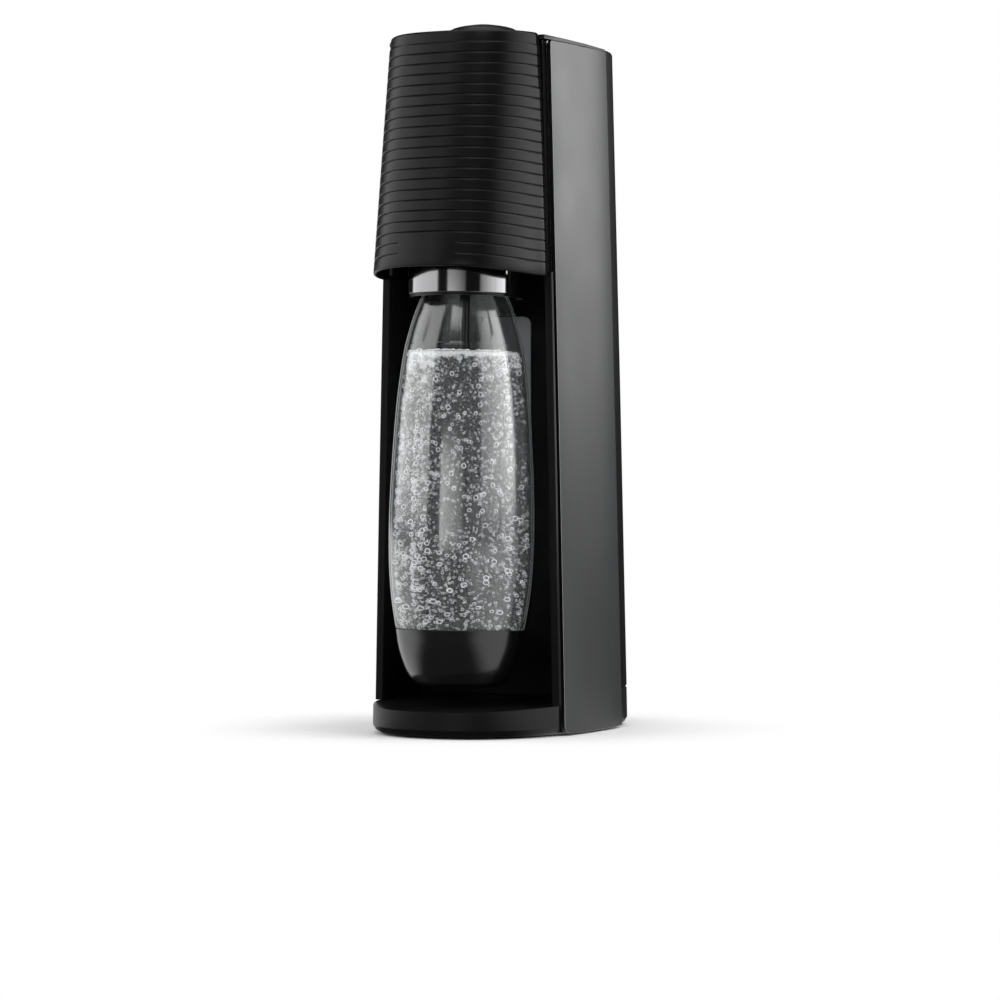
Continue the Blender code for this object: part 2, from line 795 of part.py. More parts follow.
def make_bracket():
    """An arch fixed to the niche's back wall: the valve sits on it and the carrier hangs between its legs."""
    outer, inner = bracket_half, bracket_half - bracket_leg
    low, under, top = bracket_bottom, bracket_top - bracket_leg, bracket_top
    outline = [(-outer, low), (-outer, top), (outer, top), (outer, low),
               (inner, low), (inner, under), (-inner, under), (-inner, low)]
    rings = [[(x, y, z) for x, z in outline] for y in (bracket_front, niche_back - gap)]
    bracket = loft("head_bracket", rings, steel)
    hole = rod("hose_hole", (0, hinge_y, under - 3 * mm), (0, hinge_y, top + 3 * mm), hose_hole, None,
               collection=cutters)
    cut(bracket, hole)
    pins = rod("leg_holes", (-outer - 5 * mm, hinge_y, hinge_z), (outer + 5 * mm, hinge_y, hinge_z),
               carrier_pin_radius + pin_clearance, None, collection=cutters, sides=16)
    cut(bracket, pins)
    for side, word in ((-1, "left"), (1, "right")):
        far = outer + 1 * mm
        rod("carrier_pin_" + word, (side * (far - carrier_pin_length), hinge_y, hinge_z),
            (side * far, hinge_y, hinge_z), carrier_pin_radius, steel, sides=16)
    return bracket


# Carrier, collar and bottle


def carrier_frame():
    return Matrix.Translation((0, hinge_y, hinge_z)) @ Matrix.Rotation(-bottle_lean, 4, "X")


def sector(name, outer, inner, low, high, middle, half_angle, material, collection=parts, count=17):
    """Part of a ring about the carrier's own axis, centred on an angle from +X."""
    outline = [(outer * cos(a), outer * sin(a)) for a in angles_about(middle, half_angle, count)]
    outline += [(inner * cos(a), inner * sin(a)) for a in reversed(angles_about(middle, half_angle, count))]
    item = loft(name, [[(x, y, z) for x, y in outline] for z in (low, high)], material, collection)
    item.matrix_world = carrier_frame()
    return item


def angles_about(middle, half_angle, count):
    return [middle - half_angle + 2 * half_angle * i / (count - 1) for i in range(count)]


def make_carrier():
    frame = carrier_frame()
    bore = tube_radius + gap
    tube_top = carrier_top - tube_socket
    profile = [(0, carrier_top), (carrier_nose - 4 * mm, carrier_top), (carrier_nose, carrier_top - 4 * mm),
               (carrier_radius, -4 * mm), (carrier_radius, carrier_bottom), (bore, carrier_bottom),
               (bore, tube_top), (0, tube_top)]
    carrier = turned("nozzle_carrier", profile, black_matte, frame, 32)
    reach = bracket_half - bracket_leg - 0.6 * mm
    ear_inner = carrier_radius - 8 * mm
    for side, word in ((-1, "left"), (1, "right")):
        xs = sorted((side * ear_inner, side * reach))
        ear = box("ear_" + word, (xs[0], -carrier_ear, -carrier_ear), (xs[1], carrier_ear, carrier_ear),
                  None, frame, cutters)
        join(carrier, ear)
        hole = rod("ear_bore_" + word, (side * (reach - 7 * mm), 0, 0), (side * (reach + 5 * mm), 0, 0),
                   carrier_pin_radius + pin_clearance, None, frame, cutters, 16)
        cut(carrier, hole)
    return carrier


def make_collar():
    frame = carrier_frame()
    core = collar_radius - visor_thickness - gap
    top = carrier_bottom - gap
    profile = [(core, top), (core, collar_bottom), (collar_inner, collar_bottom), (collar_inner, top)]
    ring = turned("collar_ring", profile, black_gloss, frame, 40)
    back = pi / 2
    rear_half = pi - visor_half_angle - radians(0.6)
    outer = sector("collar_rear", collar_radius, core - 0.8 * mm, collar_bottom, top - 0.4 * mm, back,
                   rear_half, None, cutters, 25)
    join(ring, outer)
    skirt = sector("collar_skirt", collar_radius - 0.4 * mm, collar_inner + 0.3 * mm, collar_skirt_bottom,
                   collar_bottom + 2 * mm, back, skirt_half_angle, None, cutters)
    join(ring, skirt)
    visor = sector("collar_visor", collar_radius, core + gap, visor_bottom, top - 0.4 * mm, -pi / 2,
                   visor_half_angle, chrome, count=25)
    for middle, word in ((pi, "left"), (0, "right")):
        sector("grip_jaw_" + word, jaw_outer, jaw_inner, jaw_bottom, top, middle, jaw_half_angle,
               white_plastic)
    return visor


def make_nozzle():
    frame = carrier_frame()
    top = carrier_bottom - gap
    inner = tube_radius + gap
    profile = [(gasket_radius, top), (gasket_radius, top - gasket_thickness),
               (inner, top - gasket_thickness), (inner, top)]
    turned("nozzle_gasket", profile, rubber, frame, 24)
    tube_top = carrier_top - tube_socket - gap
    profile = [(tube_radius, tube_top), (tube_radius, tube_end + 2 * mm), (tube_radius - 1 * mm, tube_end),
               (tube_bore, tube_end), (tube_bore, tube_top)]
    return turned("nozzle_tube", profile, black_matte, frame, 16)


# Radius and drop below the carrier hinge, down the outside of the bottle.
bottle_form = (
    (17.2, -27.2), (21.2, -30.0), (24.9, -35.8), (28.2, -43.1), (32.3, -55.0), (35.7, -68.7),
    (38.3, -85.8), (40.5, -107.2), (42.3, -136.0), (43.3, -160.0), (43.6, -178.0), (43.2, -198.0),
    (41.6, -218.0), (38.6, -237.0), (37.1, -246.8), (35.0, -254.6), (31.7, -262.8), (27.9, -268.6),
)


def bottle_outside():
    """The bottle's outer profile in metres, stretched to end just above bottle_bottom."""
    stretch = (bottle_bottom + cup_edge) / (bottle_form[-1][1] * mm)
    return [(r * mm, z * mm * stretch) for r, z in bottle_form]


def bottle_radius(z):
    """The outside radius at this drop below the carrier's hinge."""
    outside = bottle_outside()
    for (r_high, high), (r_low, low) in zip(outside, outside[1:]):
        if low <= z <= high:
            return r_low + (r_high - r_low) * (z - low) / (high - low)
    return outside[-1][0]


def make_bottle():
    frame = carrier_frame()
    mouth = carrier_bottom - 2 * gap - gasket_thickness
    core = bottle_wall + gap
    rim = bottle_radius(cup_rim)
    ledge = cup_rim + gap
    floor = bottle_bottom + core + 2.2 * mm
    above = [(r, z) for r, z in bottle_outside() if z > cup_rim + 1 * mm]
    below = [(r, z) for r, z in bottle_outside() if z < cup_rim - 1 * mm]
    lower = [(r - core, max(z, floor + 1.2 * mm)) for r, z in below[:-1]]
    outer = [(neck_radius, mouth), (neck_radius, neck_flare), *above, (rim, ledge), (rim - core, ledge),
             *lower, (lower[-1][0] - 8 * mm, floor), (0, floor)]
    inner = [(0, floor + bottle_wall), (lower[-1][0] - 9 * mm, floor + bottle_wall)]
    inner += [(r - bottle_wall, z) for r, z in lower[::-2]]
    inner += [(rim - core - bottle_wall, ledge + bottle_wall)]
    inner += [(r - bottle_wall, z) for r, z in above[::-2]]
    inner += [(neck_radius - bottle_wall, neck_flare + 1 * mm), (neck_radius - bottle_wall, mouth)]
    turned_bottle("bottle_shell", outer + inner, clear, frame)
    inside_floor = bottle_bottom + bottle_wall
    outer = [(rim, cup_rim), *below, (cup_floor_radius, bottle_bottom), (0, bottle_bottom)]
    inner = [(0, inside_floor), (cup_floor_radius - bottle_wall, inside_floor)]
    inner += [(r - bottle_wall, max(z, inside_floor)) for r, z in below[::-1]]
    turned_bottle("bottle_base_cup", outer + inner + [(rim - bottle_wall, cup_rim)], black_matte, frame)


def turned_bottle(name, profile, material, frame, steps=28):
    """Turns a closed profile that touches the axis twice, at its bottom outside and inside."""
    mesh = bpy.data.meshes.new(name)
    on_axis = [i for i, (r, _) in enumerate(profile) if r == 0]
    edges = [(i, (i + 1) % len(profile)) for i in range(len(profile)) if i != on_axis[0]]
    mesh.from_pydata([(r, 0, z) for r, z in profile], edges, [])
    item = place(name, mesh, material)
    screw = item.modifiers.new("turn", "SCREW")
    screw.steps = screw.render_steps = steps
    screw.use_merge_vertices = True
    screw.merge_threshold = 1e-5
    screw.use_smooth_shade = True
    item.matrix_world = frame
    return item


# Gas cylinder, quick connector and back cover


def make_cylinder():
    place_at = Matrix.Translation((0, cylinder_y, 0))
    low = rear_foot_top + gap
    cup_in = cylinder_radius + seat_clearance
    profile = [(cup_in + seat_wall, low + seat_height), (cup_in + seat_wall, low), (0, low)]
    inside = [(0, low + seat_floor), (cup_in, low + seat_floor), (cup_in, low + seat_height)]
    turned_bottle("cylinder_seat", profile + inside, black_matte, place_at, 24)
    bottom = low + seat_floor + gap
    rise = cylinder_neck - cylinder_shoulder
    shoulder = [(neck_width + (cylinder_radius - neck_width) * cos(a),
                 cylinder_shoulder + (rise - neck_length) * sin(a)) for a in (radians(d) for d in (65, 35, 0))]
    body = [(cylinder_bore, cylinder_neck), (neck_width, cylinder_neck), (neck_width, cylinder_neck - neck_length),
            *shoulder, (cylinder_radius, bottom + cylinder_foot_radius), (cylinder_radius - 5 * mm, bottom), (0, bottom)]
    inner = cylinder_radius - cylinder_wall
    hollow = [(0, bottom + cylinder_wall), (inner, bottom + cylinder_wall + 5 * mm),
              (inner, cylinder_shoulder - 3 * mm), (cylinder_bore, cylinder_neck - 16 * mm)]
    turned_bottle("co2_cylinder", body + hollow, aluminium, place_at)
    groove_low = cylinder_neck + gap
    groove_high = groove_low + valve_groove
    tip, edge = valve_top + valve_pin, valve_radius - valve_chamfer
    valve = [(0, tip), (2 * mm, tip), (2 * mm, valve_top), (edge, valve_top),
             (valve_radius, valve_top - valve_chamfer), (valve_radius, groove_high),
             (valve_groove_radius, groove_high), (valve_groove_radius, groove_low), (0, groove_low)]
    turned("cylinder_valve", valve, brass, place_at, 20)


def make_connector():
    outer, inner = housing_half, housing_half - housing_cheek
    outline = [(-outer, housing_bottom), (-outer, housing_top), (outer, housing_top), (outer, housing_bottom),
               (inner, housing_bottom), (inner, housing_ceiling), (-inner, housing_ceiling),
               (-inner, housing_bottom)]
    rings = [[(x, y, z) for x, z in outline] for y in (niche_back + back_wall + gap, housing_rear)]
    housing = loft("quick_connect_housing", rings, white_plastic)
    pipe = rod("pipe_socket", (pipe_x, niche_back, pipe_height()),
               (pipe_x, niche_back + back_wall + 5 * mm, pipe_height()), pipe_radius + 0.5 * mm, None,
               collection=cutters, sides=12)
    cut(housing, pipe)
    holes = rod("pivot_holes", (-outer - 5 * mm, cylinder_y, handle_z), (outer + 5 * mm, cylinder_y, handle_z),
                handle_pin_radius + pin_clearance, None, collection=cutters, sides=16)
    cut(housing, holes)
    low = cylinder_neck + valve_groove - clamp_thickness
    slide = inner - gap
    clamp = box("cylinder_clamp", (-slide, cylinder_y - clamp_front, low),
                (slide, cylinder_y + clamp_rear, low + clamp_thickness), steel)
    slot = valve_groove_radius + gap
    cut(clamp, rod("clamp_bore", (0, cylinder_y, low - 5 * mm), (0, cylinder_y, low + 15 * mm), slot, None,
                   collection=cutters, sides=24))
    cut(clamp, box("clamp_slot", (-slot * 0.985, cylinder_y, low - 5 * mm),
                   (slot * 0.985, cylinder_y + clamp_rear + 10 * mm, low + 15 * mm), None, collection=cutters))
    return housing


def make_handle():
    frame = Matrix.Translation((0, cylinder_y, handle_z)) @ Matrix.Rotation(handle_rest, 4, "X")
    inner = housing_half + handle_clearance
    outer = inner + handle_arm
    eye = handle_thickness / 2
    outline = [(outer, -eye), (outer, handle_reach), (-outer, handle_reach), (-outer, -eye),
               (-inner, -eye), (-inner, handle_reach - handle_bar), (inner, handle_reach - handle_bar),
               (inner, -eye)]
    rings = [[(x, y, z) for x, y in outline] for z in (-eye, eye)]
    handle = loft("lift_handle", rings, accent)
    handle.matrix_world = frame
    hole = rod("handle_bore", (-outer - 5 * mm, 0, 0), (outer + 5 * mm, 0, 0),
               handle_pin_radius + pin_clearance, None, frame, cutters, 16)
    cut(handle, hole)
    for side, word in ((-1, "left"), (1, "right")):
        near, far = housing_half - housing_cheek + 0.5 * mm, outer + 0.5 * mm
        rod("handle_pin_" + word, (side * near, cylinder_y, handle_z), (side * far, cylinder_y, handle_z),
            handle_pin_radius, steel, sides=16)
    return handle


def cover_band(z, outer, inner):
    return rear_arc(z, outer, cover_front, 27) + rear_arc(z, inner, cover_front, 27)[::-1]


def cover_lid(z, outer):
    """The cover's roof: its outer arc, closed along the straight front edge."""
    arc = rear_arc(z, outer, cover_front, 27)
    reach = side_x(cover_front, z, max(outer, wall) + 0.5 * mm)
    return arc + [(-reach + 2 * reach * i / 26, cover_front) for i in range(27)]


def make_cover():
    under = cover_top - wall
    rings = [
        at_height(cover_band(cover_bottom, 0.6 * mm, wall), cover_bottom),
        at_height(cover_band(cover_bottom + 1 * mm, 0, wall), cover_bottom + 1 * mm),
        at_height(cover_band(cover_top / 2, 0, wall), cover_top / 2),
        at_height(cover_band(under - 1 * mm, 0, wall), under - 1 * mm),
        at_height(cover_lid(under - 0.9 * mm, 0), under - 0.9 * mm),
        at_height(cover_lid(cover_top - cover_roll, 0), cover_top - cover_roll),
        at_height(cover_lid(cover_top - cover_roll * 0.3, cover_roll * 0.3), cover_top - cover_roll * 0.3),
        at_height(cover_lid(cover_top, cover_roll), cover_top),
    ]
    cover = loft("back_cover", rings, black_matte)
    rear = depth / 2 - rear_rake * latch_z
    hole = box("latch_hole", (-latch_half_width - gap, rear - 20 * mm, latch_z - latch_half_height - gap),
               (latch_half_width + gap, rear + 20 * mm, latch_z + latch_half_height + gap), None,
               collection=cutters)
    cut(cover, hole)
    inside = rear - wall - latch_clearance
    button = box("cover_latch_button", (-latch_half_width, inside - 1 * mm, latch_z - latch_half_height),
                 (latch_half_width, rear + latch_proud, latch_z + latch_half_height), black_gloss)
    reach, rise = latch_half_width + latch_flange, latch_half_height + latch_flange
    flange = box("latch_flange", (-reach, inside - latch_flange, latch_z - rise),
                 (reach, inside, latch_z + rise), None, collection=cutters)
    join(button, flange)
    return cover


make_base()
make_base_plate()
make_frame()
make_panel(1)
make_panel(-1)
make_head()
make_top()
make_ceiling()
make_button()
make_button_guide()
make_spring()
make_lever()
make_valve()
make_pipes()
make_bracket()
make_carrier()
make_collar()
make_nozzle()
make_bottle()
make_cylinder()
make_connector()
make_handle()
make_cover()

carrier_pivot = pivot_at("carrier_pivot", carrier_frame())
carry(carrier_pivot, "nozzle_carrier", "collar_ring", "collar_visor", "nozzle_gasket", "nozzle_tube",
      "grip_jaw_left", "grip_jaw_right", "bottle_shell", "bottle_base_cup")
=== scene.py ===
# Soda carbonator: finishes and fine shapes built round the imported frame. Metres, front is -Y, up is +Z.
import json
from math import asin, ceil, copysign, cos, pi, radians, sin, sqrt, tan

import bmesh
import bpy
from mathutils import Matrix, Vector

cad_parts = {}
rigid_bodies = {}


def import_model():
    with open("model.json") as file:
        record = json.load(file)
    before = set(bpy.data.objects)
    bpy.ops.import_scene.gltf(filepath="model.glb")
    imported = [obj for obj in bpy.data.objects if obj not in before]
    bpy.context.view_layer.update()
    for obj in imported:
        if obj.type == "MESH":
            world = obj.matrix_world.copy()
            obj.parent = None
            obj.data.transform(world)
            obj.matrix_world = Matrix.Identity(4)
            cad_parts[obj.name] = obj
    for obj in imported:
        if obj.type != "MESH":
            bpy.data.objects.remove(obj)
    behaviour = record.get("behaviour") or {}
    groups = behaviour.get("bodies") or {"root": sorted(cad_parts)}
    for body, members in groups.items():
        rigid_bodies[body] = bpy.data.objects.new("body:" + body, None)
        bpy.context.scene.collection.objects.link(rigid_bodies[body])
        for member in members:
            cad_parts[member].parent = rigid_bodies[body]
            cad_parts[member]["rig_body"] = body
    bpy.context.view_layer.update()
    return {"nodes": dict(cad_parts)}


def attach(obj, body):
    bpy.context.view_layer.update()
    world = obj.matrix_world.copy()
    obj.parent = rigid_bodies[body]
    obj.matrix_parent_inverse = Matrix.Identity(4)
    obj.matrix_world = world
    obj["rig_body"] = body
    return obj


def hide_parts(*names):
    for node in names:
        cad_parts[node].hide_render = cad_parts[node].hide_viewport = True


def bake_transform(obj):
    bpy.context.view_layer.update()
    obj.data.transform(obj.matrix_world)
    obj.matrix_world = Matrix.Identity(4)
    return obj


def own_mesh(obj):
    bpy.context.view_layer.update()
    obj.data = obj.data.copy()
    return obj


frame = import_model()
print("frame loaded:", len(frame["nodes"]), "nodes")

mm = 0.001
touching = 0.001 * mm  # points nearer than this are one


# A node with the given settings. Each input is a value or the socket that feeds it.
def addNode(tree, kind, inputs=None, **settings):
    made = tree.nodes.new(kind)
    for name, value in settings.items():
        setattr(made, name, value)
    for key, value in (inputs or {}).items():
        if isinstance(value, bpy.types.NodeSocket):
            tree.links.new(value, made.inputs[key])
        else:
            made.inputs[key].default_value = value
    return made


def mathNode(tree, operation, *values):
    return addNode(tree, "ShaderNodeMath", dict(enumerate(values)), operation=operation).outputs[0]


# A step from start to end as value goes from low to high, smooth unless told otherwise.
def rangeNode(tree, value, low, high, start, end, smooth=True):
    inputs = {"Value": value, "From Min": low, "From Max": high, "To Min": start, "To Max": end}
    kind = "SMOOTHSTEP" if smooth else "LINEAR"
    return addNode(tree, "ShaderNodeMapRange", inputs, interpolation_type=kind).outputs["Result"]


def mixShader(tree, share, first, second):
    return addNode(tree, "ShaderNodeMixShader", {0: share, 1: first, 2: second}).outputs[0]


camera = {"place": (1.0404, -2.0211, 0.1739), "tilt": 89.1395, "turn": 27.2501, "lens": 133.72, "sensor": 36,
          "clipStart": 0.05}


def makeCamera():
    data = bpy.data.cameras.new("camera")
    data.lens = camera["lens"]
    data.sensor_width = camera["sensor"]
    data.clip_start = camera["clipStart"]
    eye = bpy.data.objects.new("camera", data)
    eye.location = camera["place"]
    eye.rotation_euler = (radians(camera["tilt"]), 0, radians(camera["turn"]))
    bpy.context.scene.collection.objects.link(eye)
    bpy.context.scene.camera = eye


# Each bank of lamps fills a range of azimuth round the object, from one elevation to another, in degrees.
# Its glow goes from the first value at the left end to the second at the right, and fades near its borders.
banks = {
    "left": {"azimuth": (-101, -26), "elevation": (-6, 50), "glow": (2.1, 1.5), "fade": (0.05, 0.16)},
    "frontLow": {"azimuth": (-9, 30), "elevation": (-6, 10), "glow": (2.7, 0.3), "fade": (0.1, 0.25)},
    "frontHigh": {"azimuth": (-9, 24), "elevation": (32, 64), "glow": (2.2, 1.2), "fade": (0.12, 0.2)},
    "right": {"azimuth": (54, 124), "elevation": (-6, 62), "glow": (0.35, 4.0), "fade": (0.07, 0.16)},
    "rearRight": {"azimuth": (131, 161), "elevation": (-2, 34), "glow": (4.8, 4.2), "fade": (0.22, 0.3)},
    "rearLeft": {"azimuth": (-166, -134), "elevation": (0, 30), "glow": (2, 2), "fade": (0.25, 0.3)},
}
bankReach = {"distance": 1.5, "aim": 0.21, "tallest": 36, "widest": 40}  # one lamp spans these degrees at most
overhead = {"height": 1.7, "side": 1.5, "glow": (1.4, 1.4), "fade": (0.1, 0.1)}


# One lamp of a bank. Across and up are the lamp's spans of the bank, from 0 to 1.
def makeLamp(name, place, facing, width, height, bank, across=(0, 1), up=(0, 1)):
    data = bpy.data.lights.new(name, "AREA")
    data.shape = "RECTANGLE"
    data.size = width
    data.size_y = height
    data.energy = pi * width * height
    data.use_nodes = True
    tree = data.node_tree
    spot = addNode(tree, "ShaderNodeNewGeometry").outputs["Parametric"]
    sides = addNode(tree, "ShaderNodeSeparateXYZ", {0: spot}).outputs
    left, right = bank["glow"]
    level = rangeNode(tree, sides[0], 0, 1, *[left + (right - left) * end for end in across], False)
    strength = 1
    for side, (start, end), soft in zip(sides, (across, up), bank["fade"]):
        share = rangeNode(tree, side, 0, 1, start, end, False)
        for low, high in ((0, soft), (1, 1 - soft)):
            strength = mathNode(tree, "MULTIPLY", strength, rangeNode(tree, share, low, high, 0, 1))
    tree.links.new(mathNode(tree, "MULTIPLY", strength, level), tree.nodes["Emission"].inputs["Strength"])
    lamp = bpy.data.objects.new(name, data)
    lamp.location = place
    lamp.rotation_euler = Vector(facing).to_track_quat("-Z", "Y").to_euler()
    lamp.visible_camera = False
    bpy.context.scene.collection.objects.link(lamp)


def makeBank(name, bank):
    aim = Vector((0, 0, bankReach["aim"]))
    distance = bankReach["distance"]
    left, right = bank["azimuth"]
    low, high = bank["elevation"]
    rows, columns = ceil((high - low) / bankReach["tallest"]), ceil((right - left) / bankReach["widest"])
    rise, turn = (high - low) / rows, (right - left) / columns
    for i in range(columns):
        for k in range(rows):
            azimuth, elevation = radians(left + turn * (i + 0.5)), radians(low + rise * (k + 0.5))
            outward = Vector((sin(azimuth) * cos(elevation), -cos(azimuth) * cos(elevation), sin(elevation)))
            width = 2 * distance * cos(elevation) * tan(radians(turn) / 2)
            height = 2 * distance * tan(radians(rise) / 2)
            makeLamp(f"{name}{i * rows + k + 1}", aim + outward * distance, -outward, width, height, bank,
                     (i / columns, (i + 1) / columns), (k / rows, (k + 1) / rows))


def makeLamps():
    for name, bank in banks.items():
        makeBank(name, bank)
    side = overhead["side"]
    makeLamp("overhead", (0, 0, overhead["height"]), (0, 0, -1), side, side, overhead)


room = {"ambient": 0.3, "mirrored": 0.02, "background": 1}  # strengths of the white around the object


def makeRoom():
    world = bpy.data.worlds.new("room")
    world.use_nodes = True
    bpy.context.scene.world = world
    tree = world.node_tree
    tree.nodes.clear()
    ray = addNode(tree, "ShaderNodeLightPath").outputs
    lit, dim, white = [
        addNode(tree, "ShaderNodeBackground", {"Color": (1, 1, 1, 1), "Strength": room[name]}).outputs[0]
        for name in ("ambient", "mirrored", "background")]
    mirror = mixShader(tree, ray["Is Glossy Ray"], lit, dim)
    seen = mixShader(tree, ray["Is Camera Ray"], mirror, white)
    addNode(tree, "ShaderNodeOutputWorld", {"Surface": seen})


# The floor is pale and fades to the white of the room away from the object. Glossy rays see a glow instead, a
# painted reflection that is bright to the left and right and dim in front. Each painted pool goes from one
# share of sideways to another, and from one strength to another.
ground = {"radius": 9, "segments": 64, "color": 0.93, "roughness": 0.9, "specular": 0.1,
          "clearRadius": 0.09, "whiteRadius": 0.2, "gloss": 0.05,
          "leftPool": (-0.85, -0.45, 0.85, 0), "rightPool": (0.5, 0.85, 0, 0.6)}


def makeFloor():
    mesh = bpy.data.meshes.new("floor")
    shape = bmesh.new()
    bmesh.ops.create_circle(shape, cap_ends=True, radius=ground["radius"], segments=ground["segments"])
    shape.to_mesh(mesh)
    shape.free()
    floor = bpy.data.objects.new("floor", mesh)
    bpy.context.scene.collection.objects.link(floor)
    material = bpy.data.materials.new("paleFloor")
    material.use_nodes = True
    tree = material.node_tree
    pale = tree.nodes["Principled BSDF"]
    pale.inputs["Base Color"].default_value = (*[ground["color"]] * 3, 1)
    pale.inputs["Roughness"].default_value = ground["roughness"]
    pale.inputs["Specular IOR Level"].default_value = ground["specular"]
    place = addNode(tree, "ShaderNodeTexCoord").outputs["Object"]
    away = addNode(tree, "ShaderNodeVectorMath", {0: place}, operation="LENGTH").outputs["Value"]
    toward = addNode(tree, "ShaderNodeVectorMath", {0: place}, operation="NORMALIZE").outputs[0]
    sideways = addNode(tree, "ShaderNodeSeparateXYZ", {0: toward}).outputs["X"]
    ray = addNode(tree, "ShaderNodeLightPath").outputs
    faded = rangeNode(tree, away, ground["clearRadius"], ground["whiteRadius"], 0, 1)
    white = addNode(tree, "ShaderNodeEmission").outputs[0]
    seen = mixShader(tree, mathNode(tree, "MULTIPLY", faded, ray["Is Camera Ray"]), pale.outputs[0], white)
    # The floor's glow in glossy rays is a painted reflection.
    paintedPools = mathNode(tree, "ADD", rangeNode(tree, sideways, *ground["leftPool"]),
                     rangeNode(tree, sideways, *ground["rightPool"]))
    gloss = addNode(tree, "ShaderNodeEmission", {"Strength": mathNode(tree, "ADD", paintedPools, ground["gloss"])})
    mirror = mixShader(tree, ray["Is Glossy Ray"], seen, gloss.outputs[0])
    tree.links.new(mirror, tree.nodes["Material Output"].inputs["Surface"])
    mesh.materials.append(material)


bpy.context.scene.view_settings.view_transform = "Standard"
makeCamera()
makeLamps()
makeRoom()
makeFloor()
print("camera, lamps and floor made")


# Each finish has its colour, its least and most roughness, and the size and depth of its grain in millimetres.
# Names with a capital are sockets of the shader.
looks = {
    "matteBlack": {"color": (0.0035, 0.0037, 0.0039), "roughness": (0.34, 0.42), "grain": (0.7, 0.012),
                   "Specular IOR Level": 0.36},
    "ribBlack": {"color": (0.0028, 0.003, 0.0032), "roughness": (0.3, 0.38), "grain": (0.7, 0.012),
                 "Specular IOR Level": 0.26},
    # Dull black that paints the shade on the head's ends where they turn in towards the channels.
    "paintedShadeBlack": {"color": (0.003, 0.003, 0.0033), "roughness": (0.86, 0.94), "grain": (0.7, 0.012),
                 "Specular IOR Level": 0.04},
    "rearBlack": {"color": (0.003, 0.0032, 0.0034), "roughness": (0.35, 0.44), "grain": (0.7, 0.012),
                  "Specular IOR Level": 0.16},
    "satinBlack": {"color": (0.004, 0.004, 0.0044), "roughness": (0.24, 0.34), "grain": (0.5, 0.006)},
    "nicheBlack": {"color": (0.006, 0.006, 0.0063), "roughness": (0.34, 0.46), "grain": (0.6, 0.008),
                   "Specular IOR Level": 0.09},
    "glossBlack": {"color": (0.006, 0.006, 0.0064), "roughness": (0.12, 0.2), "grain": (2, 0.002),
                   "Specular IOR Level": 0.45},
    "cupBlack": {"color": (0.003, 0.003, 0.0033), "roughness": (0.17, 0.25), "grain": (1.2, 0.003), "IOR": 1.9},
    "stripGrey": {"color": (0.3, 0.3, 0.31), "roughness": (0.4, 0.5), "grain": (0.6, 0.008)},
    # Pale grey that paints a highlight on the side panels' rounded edges.
    "paintedEdgeHighlight": {"color": (0.6, 0.6, 0.61), "roughness": (0.3, 0.4), "grain": (0.6, 0.006)},
    "satinGraphite": {"color": (0.03, 0.031, 0.032), "roughness": (0.33, 0.4), "grain": (0.6, 0.006)},
    "chrome": {"color": (0.25, 0.25, 0.255), "roughness": (0.07, 0.12), "grain": (0.5, 0.002),
               "stretch": (1, 1, 0.05), "Metallic": 1},
    "steel": {"color": (0.5, 0.51, 0.52), "roughness": (0.22, 0.36), "grain": (0.6, 0.006), "Metallic": 1},
    "darkSteel": {"color": (0.03, 0.03, 0.032), "roughness": (0.34, 0.46), "grain": (0.6, 0.006),
                  "Metallic": 1},
    "brass": {"color": (0.66, 0.47, 0.2), "roughness": (0.22, 0.38), "grain": (0.6, 0.006), "Metallic": 1},
    "cylinderPaint": {"color": (0.42, 0.44, 0.47), "roughness": (0.26, 0.38), "grain": (0.9, 0.01),
                      "Coat Weight": 0.4},
    "rubber": {"color": (0.016, 0.016, 0.016), "roughness": (0.74, 0.86), "grain": (0.4, 0.03)},
    "whitePlastic": {"color": (0.6, 0.6, 0.57), "roughness": (0.38, 0.5), "grain": (0.6, 0.01)},
    "accentPlastic": {"color": (0.45, 0.06, 0.16), "roughness": (0.3, 0.42), "grain": (0.6, 0.01)},
    "water": {"color": (0.5, 0.505, 0.51), "roughness": (0.06, 0.1), "grain": (5, 0.01), "Alpha": 0.14,
              "Subsurface Weight": 1, "Subsurface Radius": (1, 1, 1), "Subsurface Scale": 0.02,
              "Specular IOR Level": 0.2},
}
wear = {"scale": 22, "detail": 4, "grainDetail": 2, "from": 0.3, "to": 0.7}  # noise that varies the roughness


# A Principled finish with fine grain and uneven roughness from noise on Object coordinates.
def makeFinish(name, color, roughness, grain, stretch=(1, 1, 1), **sockets):
    material = bpy.data.materials.new(name)
    material.use_nodes = True
    tree = material.node_tree
    shader = tree.nodes["Principled BSDF"]
    shader.inputs["Base Color"].default_value = (*color, 1)
    for socket, value in sockets.items():
        shader.inputs[socket].default_value = value
    place = addNode(tree, "ShaderNodeTexCoord").outputs["Object"]
    size, depth = grain
    scaled = addNode(tree, "ShaderNodeMapping", {"Vector": place, "Scale": stretch}).outputs["Vector"]
    fine = addNode(tree, "ShaderNodeTexNoise", {
        "Vector": scaled, "Scale": 1 / (size * mm), "Detail": wear["grainDetail"]}).outputs["Fac"]
    bump = addNode(tree, "ShaderNodeBump", {"Height": fine, "Strength": 1, "Distance": depth * mm})
    tree.links.new(bump.outputs["Normal"], shader.inputs["Normal"])
    worn = addNode(tree, "ShaderNodeTexNoise", {
        "Vector": place, "Scale": wear["scale"], "Detail": wear["detail"]}).outputs["Fac"]
    uneven = rangeNode(tree, worn, wear["from"], wear["to"], *roughness, False)
    tree.links.new(uneven, shader.inputs["Roughness"])
    return material


finish = {name: makeFinish(name, **values) for name, values in looks.items()}

# The rim colour and its share paint a pale sheen where the plastic is seen edge-on.
clear = {"tint": (0.97, 0.98, 0.98, 1), "rim": (0.75, 0.76, 0.77, 1), "blend": 0.5, "sharpness": 4,
         "gloss": (0.085, 0.8), "rimFrom": 0.7, "rimShare": 0.45, "roughness": (0.08, 0.12), "wearScale": 30}
